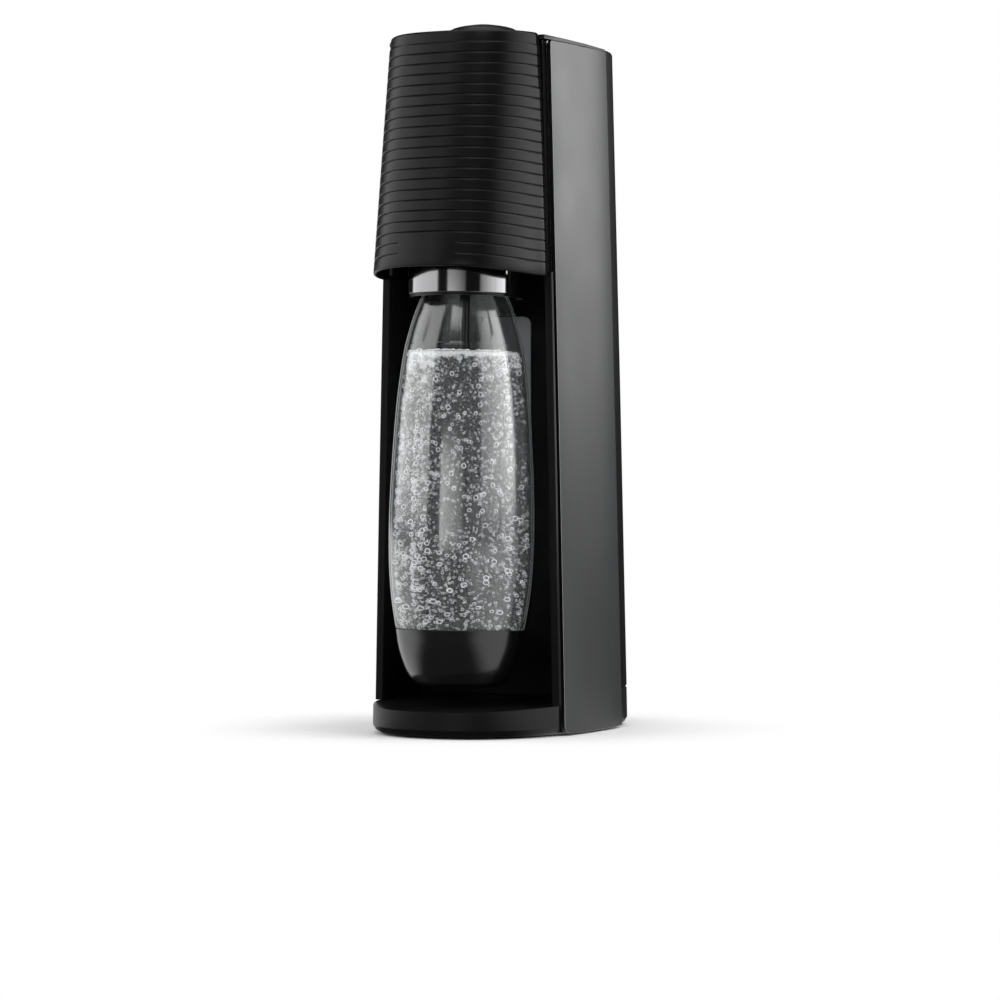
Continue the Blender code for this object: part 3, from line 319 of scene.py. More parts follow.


# Thin clear plastic: see-through, with a mirror gloss that grows towards grazing angles and a pale diffuse rim
# that paints a sheen at its edges.
def makeClearFinish():
    material = bpy.data.materials.new("clearPlastic")
    material.use_nodes = True
    tree = material.node_tree
    tree.nodes.remove(tree.nodes["Principled BSDF"])
    place = addNode(tree, "ShaderNodeTexCoord").outputs["Object"]
    worn = addNode(tree, "ShaderNodeTexNoise", {"Vector": place, "Scale": clear["wearScale"]}).outputs["Fac"]
    rough = rangeNode(tree, worn, wear["from"], wear["to"], *clear["roughness"])
    seeThrough = addNode(tree, "ShaderNodeBsdfTransparent", {"Color": clear["tint"]}).outputs[0]
    gloss = addNode(tree, "ShaderNodeBsdfGlossy", {"Roughness": rough}).outputs[0]
    pale = addNode(tree, "ShaderNodeBsdfDiffuse", {"Color": clear["rim"]}).outputs[0]
    aside = addNode(tree, "ShaderNodeLayerWeight", {"Blend": clear["blend"]}).outputs["Facing"]
    grazing = mathNode(tree, "POWER", aside, clear["sharpness"])
    shine = mixShader(tree, rangeNode(tree, grazing, 0, 1, *clear["gloss"], False), seeThrough, gloss)
    rim = mixShader(tree, rangeNode(tree, aside, clear["rimFrom"], 1, 0, clear["rimShare"]), shine, pale)
    tree.links.new(rim, tree.nodes["Material Output"].inputs["Surface"])
    return material


# The glow is painted light given to every bubble.
bubbleLook = {"color": (0.95, 0.96, 0.97, 1), "roughness": 0.08, "glow": 0.42, "blend": 0.5,
              "ring": (0.22, 0.66, 0.03, 1)}


# Bright at the rim and nearly clear in the middle, as a bubble of gas in water is. Part of its brightness is
# painted light: it glows white, though it is no lamp.
def makeBubbleFinish():
    material = bpy.data.materials.new("bubble")
    material.use_nodes = True
    tree = material.node_tree
    shader = tree.nodes["Principled BSDF"]
    for socket, value in (("Base Color", bubbleLook["color"]), ("Roughness", bubbleLook["roughness"]),
                          ("Emission Color", (1, 1, 1, 1)), ("Emission Strength", bubbleLook["glow"])):
        shader.inputs[socket].default_value = value
    aside = addNode(tree, "ShaderNodeLayerWeight", {"Blend": bubbleLook["blend"]}).outputs["Facing"]
    tree.links.new(rangeNode(tree, aside, *bubbleLook["ring"], False), shader.inputs["Alpha"])
    return material


finish["clearPlastic"] = makeClearFinish()
finish["bubble"] = makeBubbleFinish()
print("finishes made:", len(finish))


# A piece at the origin with its place in its mesh, its doubles merged and its faces outwards. Edges over the
# smooth angle stay sharp.
def newPiece(name, verts, faces, look, smoothAngle=35):
    mesh = bpy.data.meshes.new(name)
    mesh.from_pydata(verts, [], faces)
    mesh.materials.append(finish[look])
    shape = bmesh.new()
    shape.from_mesh(mesh)
    bmesh.ops.remove_doubles(shape, verts=shape.verts, dist=touching)
    bmesh.ops.recalc_face_normals(shape, faces=shape.faces)
    shape.to_mesh(mesh)
    shape.free()
    mesh.shade_smooth()
    mesh.set_sharp_from_angle(angle=radians(smoothAngle))
    piece = bpy.data.objects.new(name, mesh)
    bpy.context.scene.collection.objects.link(piece)
    return piece


# A finish number of -1 leaves the rounded edges in the finish beside them.
def roundEdges(piece, width, segments=3, angle=40, number=-1):
    edge = piece.modifiers.new("edges", "BEVEL")
    edge.width = width
    edge.segments = segments
    edge.limit_method = "ANGLE"
    edge.angle_limit = radians(angle)
    edge.harden_normals = True
    edge.material = number


# A closed piece turned about the local Z axis of the matrix at, from a profile of (radius, z). A profile that
# doesn't start and end on the axis is closed into a ring.
def spin(name, profile, at, look, steps, smoothAngle):
    verts, faces, rows = [], [], []
    for radius, z in profile:
        if radius < touching:
            rows.append([len(verts)] * steps)
            verts.append(at @ Vector((0, 0, z)))
            continue
        rows.append(list(range(len(verts), len(verts) + steps)))
        for i in range(steps):
            turn = 2 * pi * i / steps
            verts.append(at @ Vector((radius * cos(turn), radius * sin(turn), z)))
    hollow = profile[0][0] > touching or profile[-1][0] > touching
    for first, second in zip(rows, rows[1:] + (rows[:1] if hollow else [])):
        for i in range(steps):
            j = (i + 1) % steps
            corners = list(dict.fromkeys((first[i], first[j], second[j], second[i])))
            if len(corners) > 2:
                faces.append(corners)
    return newPiece(name, verts, faces, look, smoothAngle)


# A smooth line through knots of (radius, z).
def curveThrough(knots, steps):
    padded = [knots[0], *knots, knots[-1]]
    line = []
    for a, b, c, d in zip(padded, padded[1:], padded[2:], padded[3:]):
        for i in range(steps):
            t = i / steps
            line.append(tuple(
                0.5 * (2 * q + (r - p) * t + (2 * p - 5 * q + 4 * r - s) * t * t
                       + (3 * q - p - 3 * r + s) * t ** 3)
                for p, q, r, s in zip(a, b, c, d)
            ))
    return line + [knots[-1]]


# Angles from 0 to a quarter turn.
def quarterTurn(steps):
    return [pi / 2 * i / steps for i in range(steps + 1)]


# Points that round one corner of a profile.
def roundCorner(before, corner, after, radius, steps=5):
    corner = Vector(corner)
    start = corner + (Vector(before) - corner).normalized() * radius
    end = corner + (Vector(after) - corner).normalized() * radius
    shares = [i / steps for i in range(steps + 1)]
    return [tuple(start * (1 - t) ** 2 + corner * 2 * t * (1 - t) + end * t * t) for t in shares]


# The same line of points, respaced to count points of even spacing.
def evenly(points, count):
    lengths = [0]
    for a, b in zip(points, points[1:]):
        lengths.append(lengths[-1] + (Vector(b) - Vector(a)).length)
    spaced, k = [], 0
    for i in range(count):
        target = lengths[-1] * i / (count - 1)
        while k < len(points) - 2 and lengths[k + 1] < target:
            k += 1
        share = (target - lengths[k]) / (lengths[k + 1] - lengths[k])
        spaced.append(tuple(Vector(points[k]).lerp(Vector(points[k + 1]), share)))
    return spaced


# A Geometry Nodes tree with an input for each value, its input sockets, its output node and its inputs' keys.
def newTree(name, values):
    tree = bpy.data.node_groups.new(name, "GeometryNodeTree")
    tree.interface.new_socket("Geometry", in_out="INPUT", socket_type="NodeSocketGeometry")
    keys = {}
    for label, value in values.items():
        kind = {float: "Float", int: "Int", bpy.types.Material: "Material"}[type(value)]
        socket = tree.interface.new_socket(label, in_out="INPUT", socket_type="NodeSocket" + kind)
        keys[label] = socket.identifier
    tree.interface.new_socket("Geometry", in_out="OUTPUT", socket_type="NodeSocketGeometry")
    return tree, tree.nodes.new("NodeGroupInput").outputs, tree.nodes.new("NodeGroupOutput"), keys


# Ends a tree: its instances are made real and painted.
def endTree(tree, geometry, material, end):
    real = addNode(tree, "GeometryNodeRealizeInstances", {0: geometry}).outputs[0]
    painted = addNode(tree, "GeometryNodeSetMaterial", {"Geometry": real, "Material": material}).outputs[0]
    tree.links.new(painted, end.inputs["Geometry"])


# Runs the tree on the piece and keeps the result as its plain mesh.
def applyTree(piece, tree, keys, values):
    modifier = piece.modifiers.new(tree.name, "NODES")
    modifier.node_group = tree
    for label, value in values.items():
        modifier[keys[label]] = value
    graph = bpy.context.evaluated_depsgraph_get()
    made = bpy.data.meshes.new_from_object(piece.evaluated_get(graph), depsgraph=graph)
    piece.modifiers.remove(modifier)
    piece.data = made


# The housing's plan is an oval that tapers upwards. Above the rim its front is raked.
housing = {"width": 133 * mm, "depth": 195 * mm, "height": 428 * mm, "sideTaper": 0.0294, "rearRake": 0.0305,
           "headRake": 0.1666, "roundLow": 2.45, "roundHigh": 3.12, "samples": 400}
rimHeight = 278.7 * mm


# Half width, middle y, half length and power of the plan at this height.
def ovalAt(z, inset=0.0, raked=False):
    front = -housing["depth"] / 2 + (housing["headRake"] * max(z - rimHeight, 0) if raked else 0)
    rear = housing["depth"] / 2 - housing["rearRake"] * z
    power = housing["roundLow"] + (housing["roundHigh"] - housing["roundLow"]) * z / housing["height"]
    half = housing["width"] / 2 - housing["sideTaper"] * z
    return half - inset, (front + rear) / 2, (rear - front) / 2 - inset, power


def sideX(y, z, inset=0.0):
    half, middle, long, power = ovalAt(z, inset)
    return half * (1 - min(abs(y - middle) / long, 1) ** power) ** (1 / power)


# The front of the raked plan from the right end round to the left, evenly spaced.
def frontArc(z, inset, yEnd, count):
    half, middle, long, power = ovalAt(z, inset, True)
    end = asin(min(abs(yEnd - middle) / long, 1) ** (power / 2))
    points = []
    for i in range(housing["samples"] + 1):
        turn = -end + (2 * end - pi) * i / housing["samples"]
        c, s = cos(turn), sin(turn)
        points.append((copysign(half * abs(c) ** (2 / power), c), middle - long * abs(s) ** (2 / power)))
    return evenly(points, count)


# The falls are slopes towards the rear at the front of the head. They level out over the fall lengths.
head = {"top": 419.4 * mm, "rear": -46 * mm, "wall": 2.6 * mm, "flange": 12.5 * mm, "flare": 1.0 * mm,
        "rimFall": 0.19, "rimFallLength": 55 * mm, "topFall": 0.042, "topFallLength": 100 * mm,
        "topRoll": 2.0 * mm, "topRollSteps": 6, "rimRoll": 1.1 * mm, "rimRollSteps": 5, "rimGap": 0.1 * mm,
        "capStep": 0.3 * mm, "capLap": 0.2 * mm, "innerRows": 4, "columns": 171, "smoothAngle": 62,
        "turnIn": 1.5 * mm, "turnLength": 5 * mm, "turnPainted": 0.7}
grooves = {"First": 412.4 * mm, "Pitch": 6.278 * mm, "Count": 21, "Half width": 0.34 * mm,
           "Lower width": 1.0 * mm, "Depth": 0.45 * mm, "Pad half": 18.6 * mm, "Pad edge": 1.5 * mm,
           "Pad grooves": 2}
grooveRows = (0.7, 0.36, 0.24, 0.12, 0, -0.25, -0.5, -0.75, -1.05, -1.5)  # millimetres over a groove's middle


# One line round the front of the head. It falls towards the rear, and the head widens a little upwards. Its two
# ends turn in towards the channels beside the panels.
def headRow(level, inset):
    up = (level - rimHeight) / (head["top"] - rimHeight)
    fall = head["rimFall"] + (head["topFall"] - head["rimFall"]) * up
    length = head["rimFallLength"] + (head["topFallLength"] - head["rimFallLength"]) * up
    arc = frontArc(level, inset - head["flare"] * up, head["rear"], head["columns"])
    front = min(y for _, y in arc)
    row = []
    for x, y in arc:
        near = min(max(1 - (head["rear"] - y) / head["turnLength"], 0), 1)
        inward = head["turnIn"] * (1 - sqrt(1 - near * near))
        back = y - front
        row.append((x - copysign(inward, x), y, level - fall * back * (1 - back / (2 * length))))
    return row


# Presses the ribs' grooves into a shell whose outer points know their level. The others have the level -1. The
# last few grooves stop at the sides of the smooth pad in the middle.
def makeCutGrooves(values):
    tree, given, end, keys = newTree("cutGrooves", values)
    level = addNode(tree, "GeometryNodeInputNamedAttribute", {"Name": "level"}, data_type="FLOAT")
    height = level.outputs["Attribute"]
    along = mathNode(tree, "DIVIDE", mathNode(tree, "SUBTRACT", given["First"], height), given["Pitch"])
    last = mathNode(tree, "SUBTRACT", given["Count"], 1)
    index = mathNode(tree, "MINIMUM", mathNode(tree, "MAXIMUM", mathNode(tree, "ROUND", along), 0), last)
    under = mathNode(tree, "MULTIPLY", mathNode(tree, "SUBTRACT", along, index), given["Pitch"])
    over = mathNode(tree, "MULTIPLY", under, -1)
    groove = mathNode(tree, "MINIMUM", rangeNode(tree, under, 0, given["Lower width"], 1, 0, False),
                      rangeNode(tree, over, 0, given["Half width"], 1, 0))
    spot = addNode(tree, "GeometryNodeInputPosition").outputs[0]
    aside = mathNode(tree, "ABSOLUTE", addNode(tree, "ShaderNodeSeparateXYZ", {0: spot}).outputs["X"])
    padEnd = mathNode(tree, "ADD", given["Pad half"], given["Pad edge"])
    beside = rangeNode(tree, aside, given["Pad half"], padEnd, 0, 1)
    low = mathNode(tree, "GREATER_THAN", index, mathNode(tree, "SUBTRACT", last, given["Pad grooves"]))
    bare = mathNode(tree, "MULTIPLY", low, mathNode(tree, "SUBTRACT", 1, beside))
    outside = mathNode(tree, "GREATER_THAN", height, 0)
    share = mathNode(tree, "MULTIPLY", mathNode(tree, "MULTIPLY", groove, outside),
                     mathNode(tree, "SUBTRACT", 1, bare))
    press = mathNode(tree, "MULTIPLY", mathNode(tree, "MULTIPLY", share, given["Depth"]), -1)
    normal = addNode(tree, "GeometryNodeInputNormal").outputs[0]
    inward = addNode(tree, "ShaderNodeVectorMath", {0: normal, "Scale": press}, operation="SCALE").outputs[0]
    moved = addNode(tree, "GeometryNodeSetPosition", {"Geometry": given["Geometry"], "Offset": inward})
    endTree(tree, moved.outputs[0], given["Finish"], end)
    return tree, keys


def makeHead():
    top, rim, wall = head["top"], rimHeight, head["wall"]
    roll, lip = head["topRoll"], head["rimRoll"]
    rows, levels = [], []

    def addRow(level, inset, outside=False):
        rows.append(headRow(level, inset))
        levels.append(level if outside else -1)

    addRow(top, head["flange"])
    for turn in quarterTurn(head["topRollSteps"]):
        addRow(top - roll + roll * cos(turn), roll * (1 - sin(turn)) + head["capStep"])
    capEnd = grooves["First"] + head["capLap"]
    for i in range(grooves["Count"]):
        middle = grooves["First"] - i * grooves["Pitch"]
        for height in (*[middle + offset * mm for offset in grooveRows], middle - grooves["Pitch"] / 2):
            if rim + lip < height < top - roll:
                addRow(height, head["capStep"] if height > capEnd else 0, True)
    for i in range(head["rimRollSteps"] + 1):
        turn = pi * i / head["rimRollSteps"]
        addRow(rim + lip - lip * sin(turn), (wall - head["rimGap"]) * (1 - cos(turn)) / 2)
    for i in range(head["innerRows"]):
        addRow(rim + (top - wall - rim) * (i + 1) / head["innerRows"], wall)
    addRow(top - wall, head["flange"])
    count = head["columns"]
    verts = [point for row in rows for point in row]
    faces = []
    for r in range(len(rows)):
        below = (r + 1) % len(rows)
        for c in range(count - 1):
            faces.append((r * count + c, r * count + c + 1, below * count + c + 1, below * count + c))
    faces.append([r * count for r in range(len(rows))])
    faces.append([r * count + count - 1 for r in reversed(range(len(rows)))])
    shell = newPiece("ribbedHead", verts, faces, "ribBlack", 180)  # all smooth until its grooves are in
    level = shell.data.attributes.new("level", "FLOAT", "POINT")
    level.data.foreach_set("value", [value for value in levels for _ in range(count)])
    values = {**grooves, "Finish": finish["ribBlack"]}
    applyTree(shell, *makeCutGrooves(values), values)
    # The faces where the head's ends turn in take the dull black, which paints the shade there.
    shell.data.materials.append(finish["paintedShadeBlack"])
    for face in shell.data.polygons:
        if face.center.y > head["rear"] - head["turnPainted"] * head["turnLength"]:
            face.material_index = len(shell.data.materials) - 1
    shell.data.shade_smooth()
    shell.data.set_sharp_from_angle(angle=radians(head["smoothAngle"]))
    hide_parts("head_shell")
    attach(shell, "housing")


makeHead()
print("head made")


panel = {"front": -39.4 * mm, "rear": 39.9 * mm, "low": 1.4 * mm, "high": 414.3 * mm, "thickness": 2.8 * mm,
         "footCorner": 5 * mm, "topCorner": 2.2 * mm, "cornerRows": 6, "edge": 0.9 * mm, "columns": 25,
         "rows": 64}


# One side panel, slightly convex, with rounded front corners. Its rounded edges take a pale grey that paints a
# highlight along them, paler than its face.
def makePanel(side, word):
    low, high = panel["low"], panel["high"]
    corners = ((low, panel["footCorner"], 1), (high, panel["topCorner"], -1))
    heights = [low + (high - low) * i / panel["rows"] for i in range(panel["rows"] + 1)]
    for end, radius, up in corners:
        heights = [z for z in heights if abs(z - end) >= radius]
        heights += [end + up * radius * (1 - cos(turn)) for turn in quarterTurn(panel["cornerRows"])]
    outer, inner = [], []
    for z in sorted(heights):
        front = panel["front"]
        for end, radius, up in corners:
            short = max(radius - abs(z - end), 0)
            front += radius - sqrt(radius * radius - short * short)
        ys = [front + (panel["rear"] - front) * i / (panel["columns"] - 1) for i in range(panel["columns"])]
        outer.append([(side * sideX(y, z), y, z) for y in ys])
        inner.append([(side * sideX(y, z, panel["thickness"]), y, z) for y in ys])
    rows, count = len(outer), panel["columns"]
    verts = [point for row in outer + inner for point in row]
    faces = [(r * count + c, r * count + c + 1, (r + 1) * count + c + 1, (r + 1) * count + c)
             for r in range(rows - 1) for c in range(count - 1)]
    shown = len(faces)
    faces += [[rows * count + k for k in reversed(face)] for face in faces]
    borders = [(r * count + c, (r + 1) * count + c) for r in range(rows - 1) for c in (0, count - 1)]
    borders += [(r * count + c, r * count + c + 1) for r in (0, rows - 1) for c in range(count - 1)]
    faces += [(a, b, rows * count + b, rows * count + a) for a, b in borders]
    piece = newPiece("satinPanel" + word, verts, faces, "satinGraphite")
    # The border faces take matte black, and the rounded edges take the pale grey of the painted edge highlight.
    for look in ("matteBlack", "paintedEdgeHighlight"):
        piece.data.materials.append(finish[look])
    for face in piece.data.polygons[shown:]:
        face.material_index = 1
    roundEdges(piece, panel["edge"], number=2)
    node = "side_panel_" + word.lower()
    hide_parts(node)
    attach(piece, "housing")


makePanel(-1, "Left")
makePanel(1, "Right")
print("side panels made")


# A polished pin crosses the channel in front of each panel, near its top.
channelPin = {"x": 49.9 * mm, "y": -39.7 * mm, "z": 413.3 * mm, "half": 2.1 * mm, "radius": 1.1 * mm,
              "round": 0.7 * mm, "roundSteps": 4, "steps": 24, "smoothAngle": 60}


def makeChannelPin(side, word):
    half, radius, soft = channelPin["half"], channelPin["radius"], channelPin["round"]
    place = Matrix.Translation((side * channelPin["x"], channelPin["y"], channelPin["z"]))
    profile = [(0, half)]
    profile += [(radius - soft + soft * sin(turn), half - soft + soft * cos(turn))
                for turn in quarterTurn(channelPin["roundSteps"])]
    profile += [(radius, -z) for radius, z in reversed(profile)]
    piece = spin("channelPin" + word, profile, place @ Matrix.Rotation(pi / 2, 4, "Y"), "steel",
                 channelPin["steps"], channelPin["smoothAngle"])
    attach(piece, "housing")


makeChannelPin(-1, "Left")
makeChannelPin(1, "Right")
print("channel pins made")


# The light strip stands on the back wall behind the bottle.
strip = {"half": 17 * mm, "front": 7 * mm, "rear": 7.9 * mm, "low": 96 * mm, "high": 252 * mm, "corner": 5 * mm,
         "cornerSteps": 6, "edge": 0.3 * mm}


def makeStrip():
    corner = strip["corner"]
    side, low, high = strip["half"] - corner, strip["low"] + corner, strip["high"] - corner
    outline = []
    for i, (x, z) in enumerate(((side, high), (-side, high), (-side, low), (side, low))):
        for turn in quarterTurn(strip["cornerSteps"]):
            turn += pi / 2 * i
            outline.append((x + corner * cos(turn), z + corner * sin(turn)))
    count = len(outline)
    verts = [(x, y, z) for y in (strip["front"], strip["rear"]) for x, z in outline]
    faces = [list(range(count)), [count + i for i in reversed(range(count))]]
    faces += [(i, (i + 1) % count, count + (i + 1) % count, count + i) for i in range(count)]
    piece = newPiece("backStrip", verts, faces, "stripGrey")
    roundEdges(piece, strip["edge"], 2)
    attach(piece, "housing")


makeStrip()
print("back strip made")


# The bottle, its holder, the water and the bubbles lean together. Their heights are measured from the hinge.
hinge = {"y": -45.75 * mm, "z": 300 * mm, "lean": radians(1.85)}
holderAt = Matrix.Translation((0, hinge["y"], hinge["z"])) @ Matrix.Rotation(-hinge["lean"], 4, "X")
visor = {"outer": 34.35 * mm, "inner": 33.3 * mm, "low": -36.9 * mm, "high": -17.4 * mm,
         "halfAngle": radians(75), "steps": 96, "edge": 0.4 * mm}


# The bright half ring at the front of the bottle holder.
def makeVisor():
    verts, faces = [], []
    steps = visor["steps"]
    for i in range(steps + 1):
        turn = -pi / 2 + visor["halfAngle"] * (2 * i / steps - 1)
        for radius, z in ((visor["outer"], visor["low"]), (visor["outer"], visor["high"]),
                          (visor["inner"], visor["high"]), (visor["inner"], visor["low"])):
            verts.append(holderAt @ Vector((radius * cos(turn), radius * sin(turn), z)))
    for i in range(steps):
        for k in range(4):
            a, b = 4 * i + k, 4 * i + (k + 1) % 4
            faces.append((a, b, b + 4, a + 4))
    faces += [(0, 1, 2, 3), tuple(4 * steps + k for k in (3, 2, 1, 0))]
    piece = newPiece("chromeVisor", verts, faces, "chrome")
    roundEdges(piece, visor["edge"])
    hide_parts("collar_visor")
    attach(piece, "carrier")


makeVisor()
print("visor made")


bottle = {"wall": 1.2 * mm, "gap": 0.3 * mm, "mouth": -21.3 * mm, "neck": 13.8 * mm, "flare": -25 * mm,
          "neckStep": 0.5 * mm, "bottom": -271.2 * mm, "rim": -237 * mm, "aboveRim": 0.5 * mm,
          "belowRim": 1 * mm, "ledgeRound": 0.3 * mm, "floorLift": 2.2 * mm, "floorRound": 3 * mm,
          "innermost": 1 * mm,
          "cupRim": 0.4 * mm, "cupFloor": 22 * mm, "cupRound": (3 * mm, 0.6 * mm), "fillMark": -67.4 * mm,
          "markProud": 0.25 * mm, "steps": 128, "curveSteps": 6, "smoothAngle": 50, "cupSmoothAngle": 40}
# The outline of the bottle as (radius, height) in millimetres. The mark's points have their height over the
# fill mark and their share of markProud.
bottleForm = ((17.2, -27.2), (21.2, -30), (24.9, -35.8), (28.2, -43.1), (32.3, -55), (35.7, -68.7),
              (38.3, -85.8), (40.5, -107.2), (42.3, -136), (43.3, -160), (43.6, -178), (43.2, -198),
              (41.6, -218), (38.6, -237), (37.1, -246.8), (35, -254.6), (31.7, -262.8), (27.9, -268.6))
markForm = ((0.9, 0), (0.45, 0.6), (0, 1), (-0.45, 0.6), (-0.9, 0))
bottleLine = curveThrough([(radius * mm, z * mm) for radius, z in bottleForm], bottle["curveSteps"])


def bottleRadius(z):
    for (above, high), (below, low) in zip(bottleLine, bottleLine[1:]):
        if low <= z <= high:
            return below + (above - below) * (z - low) / (high - low)
    return bottleLine[0][0] if z > 0 else bottleLine[-1][0]


# The clear shell narrows below the cup's rim and stands in the cup.
def makeBottle():
    wall, rim, neck, bottom = bottle["wall"], bottle["rim"], bottle["neck"], bottle["bottom"]
    inset, steps = wall + bottle["gap"], bottle["steps"]
    above = [(radius, z) for radius, z in bottleLine if z > rim + bottle["aboveRim"]]
    below = [(radius, z) for radius, z in bottleLine if z < rim - bottle["belowRim"]]
    base, soft = bottom + inset + bottle["floorLift"], bottle["floorRound"]
    lower = [(radius - inset, z) for radius, z in below if z > base + soft]
    foot = roundCorner(lower[-1], (lower[-1][0] - soft, base), (0, base), soft)
    marked = above[:]
    for up, out in markForm:
        z = bottle["fillMark"] + up * mm
        marked.append((bottleRadius(z) + out * bottle["markProud"], z))
    marked.sort(key=lambda point: -point[1])
    seat, ledge, turned = bottleRadius(rim), rim + bottle["gap"], bottle["ledgeRound"]
    outer = [(neck, bottle["mouth"]), (neck, bottle["flare"]), *marked, (seat, ledge + turned),
             (seat - turned, ledge), (seat - inset, ledge), *lower, *foot, (0, base)]
    inner = [(0, base + wall)]
    inner += [(max(radius - wall, bottle["innermost"]), z + wall) for radius, z in reversed(foot)]
    inner += [(radius - wall, z) for radius, z in reversed(lower[:-1])]
    inner += [(seat - inset - wall, ledge + wall)]
    inner += [(radius - wall, z) for radius, z in reversed(above[:-1])]
    inner += [(neck - wall, bottle["flare"] - bottle["neckStep"]), (neck - wall, bottle["mouth"])]
    shell = spin("clearBottle", outer + inner, holderAt, "clearPlastic", steps, bottle["smoothAngle"])
    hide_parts("bottle_shell")
    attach(shell, "bottle")
    cupFloor, (across, rise) = bottle["cupFloor"], bottle["cupRound"]
    outside = [(seat - bottle["cupRim"], rim), (seat, rim - bottle["cupRim"]), *below,
               (cupFloor + across, bottom + rise), (cupFloor, bottom), (0, bottom)]
    inside = [(0, bottom + wall), (cupFloor - wall, bottom + wall)]
    inside += [(radius - wall, max(z, bottom + wall)) for radius, z in reversed(below)]
    inside += [(seat - wall, rim)]
    cup = spin("bottleCup", outside + inside, holderAt, "cupBlack", steps, bottle["cupSmoothAngle"])
    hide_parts("bottle_base_cup")
    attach(cup, "bottle")


makeBottle()
print("bottle made")


# The water's edges are given as a step inwards and a step down.
water = {"level": 228.3 * mm, "clearance": 0.25 * mm, "floor": -262 * mm, "lap": 0.5 * mm, "ledge": 1.5 * mm,
         "topEdge": (0.8 * mm, 0.4 * mm), "bottomEdge": (4 * mm, 1 * mm), "ring": 0.5, "smoothAngle": 50}


# The water stands in the bottle.
def makeWater():
    inset = bottle["wall"] + water["clearance"]
    level = water["level"] - hinge["z"]
    wallLine = []
    for radius, z in bottleLine:
        if water["floor"] < z <= level + water["lap"]:
            deeper = bottle["wall"] + bottle["gap"] if z < bottle["rim"] + water["ledge"] else 0
            wallLine.append((radius - inset - deeper, z))
    top = bottleRadius(level) - inset
    across, down = water["topEdge"]
    inward, drop = water["bottomEdge"]
    bottom = water["floor"] - drop
    profile = [(0, level), (top * water["ring"], level), (top - across, level), (top, level - down),
               *wallLine, (wallLine[-1][0] - inward, bottom), (0, bottom)]
    piece = spin("water", profile, holderAt, "water", bottle["steps"], water["smoothAngle"])
    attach(piece, "bottle")
    return piece


waterPiece = makeWater()
print("water made")


# Bubbles lie on two copies of the water's wall, shrunk to the shares outer and deeper. Foam, thinning, clumps
# and front change how many there are, and widening how wide they are. Foam and front go from one share to
# another. The other three first give the depths or noise values between which their shares change.
bubbles = {"outer": 0.945, "deeper": 0.72, "wallRadius": 38 * mm, "forward": 4 * mm, "foamDepth": 15 * mm,
           "foam": (3.6, 0.95), "thinning": (100 * mm, 190 * mm, 1, 0.5), "clumpScale": 55,
           "clumps": (0.36, 0.62, 0.3, 1.5), "frontDepth": 20 * mm, "front": (1, 0.12), "rarity": 2.6,
           "widening": (80 * mm, 160 * mm, 1, 1.5)}
bubbleSizes = {
    "fineBubbles": {"count": 3900, "seed": 7, "smallest": 0.36 * mm, "largest": 0.78 * mm, "segments": 6,
                    "rings": 4},
    "largeBubbles": {"count": 950, "seed": 19, "smallest": 0.66 * mm, "largest": 1.6 * mm, "segments": 8,
                     "rings": 5},
}


# Scatters bubbles over the water's wall and deeper in it, thickest just under its top and wider low down.
def makeBubbleTree(values):
    tree, given, end, keys = newTree("scatterBubbles", values)
    both = addNode(tree, "GeometryNodeJoinGeometry")
    for share in (given["Outer"], given["Deeper"]):
        shrink = addNode(tree, "ShaderNodeCombineXYZ", {"X": share, "Y": share, "Z": 1}).outputs[0]
        back = mathNode(tree, "MULTIPLY", given["Middle"], mathNode(tree, "SUBTRACT", 1, share))
        keep = addNode(tree, "ShaderNodeCombineXYZ", {"Y": back}).outputs[0]
        inner = addNode(tree, "GeometryNodeTransform", {
            "Geometry": given["Geometry"], "Translation": keep, "Scale": shrink})
        tree.links.new(inner.outputs["Geometry"], both.inputs[0])
    spot = addNode(tree, "GeometryNodeInputPosition").outputs[0]
    sides = addNode(tree, "ShaderNodeSeparateXYZ", {0: spot}).outputs
    depth = mathNode(tree, "SUBTRACT", given["Top"], sides["Z"])
    foam = rangeNode(tree, depth, 0, given["Foam depth"], *bubbles["foam"])
    deep = rangeNode(tree, depth, *bubbles["thinning"])
    patches = addNode(tree, "ShaderNodeTexNoise", {"Scale": bubbles["clumpScale"]}).outputs["Fac"]
    clumps = rangeNode(tree, patches, *bubbles["clumps"])
    behind = mathNode(tree, "ADD", given["Middle"], bubbles["frontDepth"])
    front = rangeNode(tree, sides["Y"], given["Middle"], behind, *bubbles["front"])
    dense = mathNode(tree, "MULTIPLY", mathNode(tree, "MULTIPLY", foam, deep),
                     mathNode(tree, "MULTIPLY", clumps, front))
    scatter = addNode(tree, "GeometryNodeDistributePointsOnFaces", {
        "Mesh": both.outputs[0], "Density": mathNode(tree, "MULTIPLY", dense, given["Density"]),
        "Seed": given["Seed"]})
    ball = addNode(tree, "GeometryNodeMeshUVSphere", {name: given[name] for name in ("Segments", "Rings")})
    soft = addNode(tree, "GeometryNodeSetShadeSmooth", {"Geometry": ball.outputs["Mesh"]})
    pick = addNode(tree, "FunctionNodeRandomValue", {"Seed": given["Seed"]}, data_type="FLOAT").outputs[1]
    rare = mathNode(tree, "POWER", pick, bubbles["rarity"])
    spread = mathNode(tree, "SUBTRACT", given["Largest"], given["Smallest"])
    size = mathNode(tree, "ADD", given["Smallest"], mathNode(tree, "MULTIPLY", rare, spread))
    wide = mathNode(tree, "MULTIPLY", size, rangeNode(tree, depth, *bubbles["widening"]))
    shape = addNode(tree, "ShaderNodeCombineXYZ", {"X": wide, "Y": wide, "Z": size}).outputs[0]
    placed = addNode(tree, "GeometryNodeInstanceOnPoints", {
        "Points": scatter.outputs["Points"], "Instance": soft.outputs["Geometry"], "Scale": shape})
    endTree(tree, placed.outputs[0], given["Finish"], end)
    return tree, keys


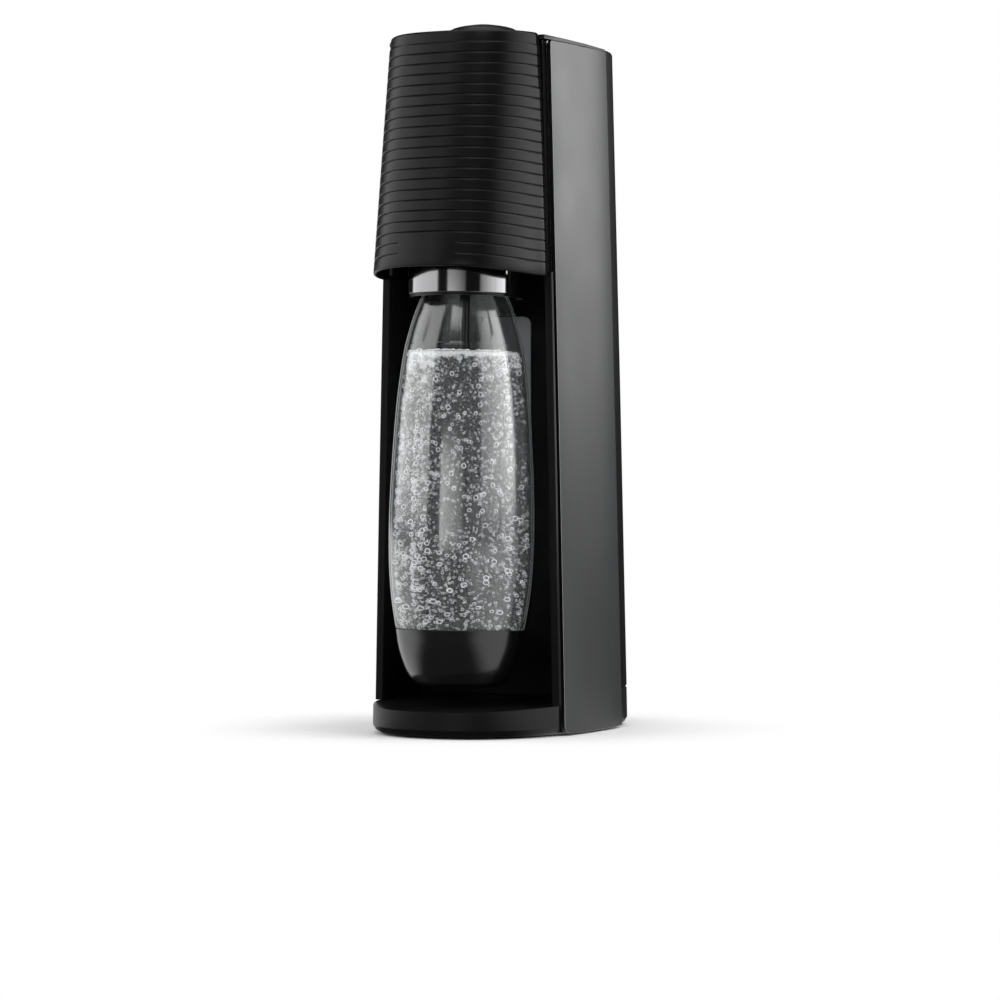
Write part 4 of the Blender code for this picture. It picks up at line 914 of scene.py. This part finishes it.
def makeBubbles(name, kind):
    piece = bpy.data.objects.new(name, waterPiece.data.copy())
    bpy.context.scene.collection.objects.link(piece)
    wallArea = 2 * pi * bubbles["wallRadius"] * (water["level"] - hinge["z"] - water["floor"])
    values = {"Density": kind["count"] / wallArea, "Smallest": kind["smallest"], "Largest": kind["largest"],
              "Top": water["level"], "Foam depth": bubbles["foamDepth"], "Outer": bubbles["outer"],
              "Deeper": bubbles["deeper"], "Middle": hinge["y"] - bubbles["forward"], "Seed": kind["seed"],
              "Segments": kind["segments"], "Rings": kind["rings"], "Finish": finish["bubble"]}
    applyTree(piece, *makeBubbleTree(values), values)
    print(name + ":", len(piece.data.polygons), "faces")
    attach(piece, "bottle")


for name, kind in bubbleSizes.items():
    makeBubbles(name, kind)
print("bubbles made")


softening = {"merge": 0.002 * mm, "flat": 1, "smooth": 34, "width": 0.35 * mm, "baseWidth": 0.7 * mm,
             "segments": 2, "bevelAngle": 32}


# A smoothed copy of one of the frame's pieces.
def smoothCopy(name, look):
    node = frame["nodes"][name]
    words = name.split("_")
    mesh = bpy.data.meshes.new(words[0] + "".join(word.title() for word in words[1:]))
    shape = bmesh.new()
    shape.from_mesh(node.data)
    bmesh.ops.remove_doubles(shape, verts=shape.verts, dist=softening["merge"])
    bmesh.ops.dissolve_limit(shape, angle_limit=radians(softening["flat"]), verts=shape.verts,
                             edges=shape.edges)
    shape.to_mesh(mesh)
    shape.free()
    mesh.materials.append(finish[look])
    mesh.shade_smooth()
    mesh.set_sharp_from_angle(angle=radians(softening["smooth"]))
    piece = bpy.data.objects.new(mesh.name, mesh)
    bpy.context.scene.collection.objects.link(piece)
    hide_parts(name)
    return piece


# A smoothed copy with rounded edges, on the body that its frame piece is on.
def dress(name, look, width=softening["width"]):
    piece = smoothCopy(name, look)
    roundEdges(piece, width, softening["segments"], softening["bevelAngle"])
    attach(piece, frame["nodes"][name]["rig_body"])


dressed = (
    ("matteBlack", "matte_black_plastic", ("base_plate", "top_cover", "cylinder_seat", "nozzle_carrier",
                                           "carbonating_button")),
    ("nicheBlack", "matte_black_plastic", ("niche_ceiling",)),
    ("nicheBlack", "gloss_black_plastic", ("niche_frame",)),
    ("satinBlack", "gloss_black_plastic", ("cover_latch_button",)),
    ("ribBlack", "gloss_black_plastic", ("collar_ring",)),
    ("glossBlack", "matte_black_plastic", ("nozzle_tube",)),
    ("darkSteel", "steel", ("carrier_pin_left", "carrier_pin_right", "head_bracket")),
    ("steel", "steel", ("lever_pin", "valve_stem", "handle_pin_left", "handle_pin_right", "cylinder_clamp",
                        "gas_pipe", "base_screw_front_left", "base_screw_front_right",
                        "base_screw_rear_left", "base_screw_rear_right")),
    ("brass", "brass", ("valve_block", "relief_valve", "cylinder_valve")),
    ("cylinderPaint", "painted_cylinder", ("co2_cylinder",)),
    ("rubber", "rubber", ("foot_front_left", "foot_front_right", "foot_rear_left", "foot_rear_right",
                          "nozzle_gasket")),
    ("whitePlastic", "white_plastic", ("button_guide", "grip_jaw_left", "grip_jaw_right",
                                       "quick_connect_housing")),
    ("accentPlastic", "accent_plastic", ("lift_handle", "valve_lever")),
)
for look, slot, names in dressed:
    for name in names:
        dress(name, look)
dress("base_shell", "matteBlack", softening["baseWidth"])
print("frame pieces dressed")


# How far the plan's formula is from one at this point: negative inside the housing.
def beyondOval(x, y, z):
    half, middle, long, power = ovalAt(z)
    return abs(x / half) ** power + abs((y - middle) / long) ** power - 1


# Corners within reach of the oval, on faces that look nearly its way, are shaded as the oval itself.
ovalShading = {"step": 0.2 * mm, "reach": 0.004, "alike": 0.97}


def ovalNormal(point):
    steps = Matrix.Identity(3) * ovalShading["step"]
    return Vector([beyondOval(*(point + step)) - beyondOval(*(point - step)) for step in steps]).normalized()


# The back cover's outer wall takes its shading from the housing's oval, so that its long faces do not show.
def makeBackCover():
    piece = smoothCopy("back_cover", "rearBlack")
    mesh = piece.data
    normals = [Vector(corner.vector) for corner in mesh.corner_normals]
    for face in mesh.polygons:
        for i in face.loop_indices:
            point = mesh.vertices[mesh.loops[i].vertex_index].co
            outward = ovalNormal(point)
            alike = face.normal.dot(outward) > ovalShading["alike"]
            if alike and abs(beyondOval(*point)) < ovalShading["reach"]:
                normals[i] = outward
    mesh.normals_split_custom_set(normals)
    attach(piece, "back_cover")


makeBackCover()
print("back cover made")


# The button's spring and the nozzle hose are smoothed copies: the spring rides on the housing with a mesh of
# its own, and the hose keeps its place in its mesh.
def makeSpringAndHose():
    spring = smoothCopy("button_spring", "steel")
    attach(spring, "housing")
    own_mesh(spring)
    hose = smoothCopy("nozzle_hose", "rubber")
    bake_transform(hose)


makeSpringAndHose()
print("spring and hose made")
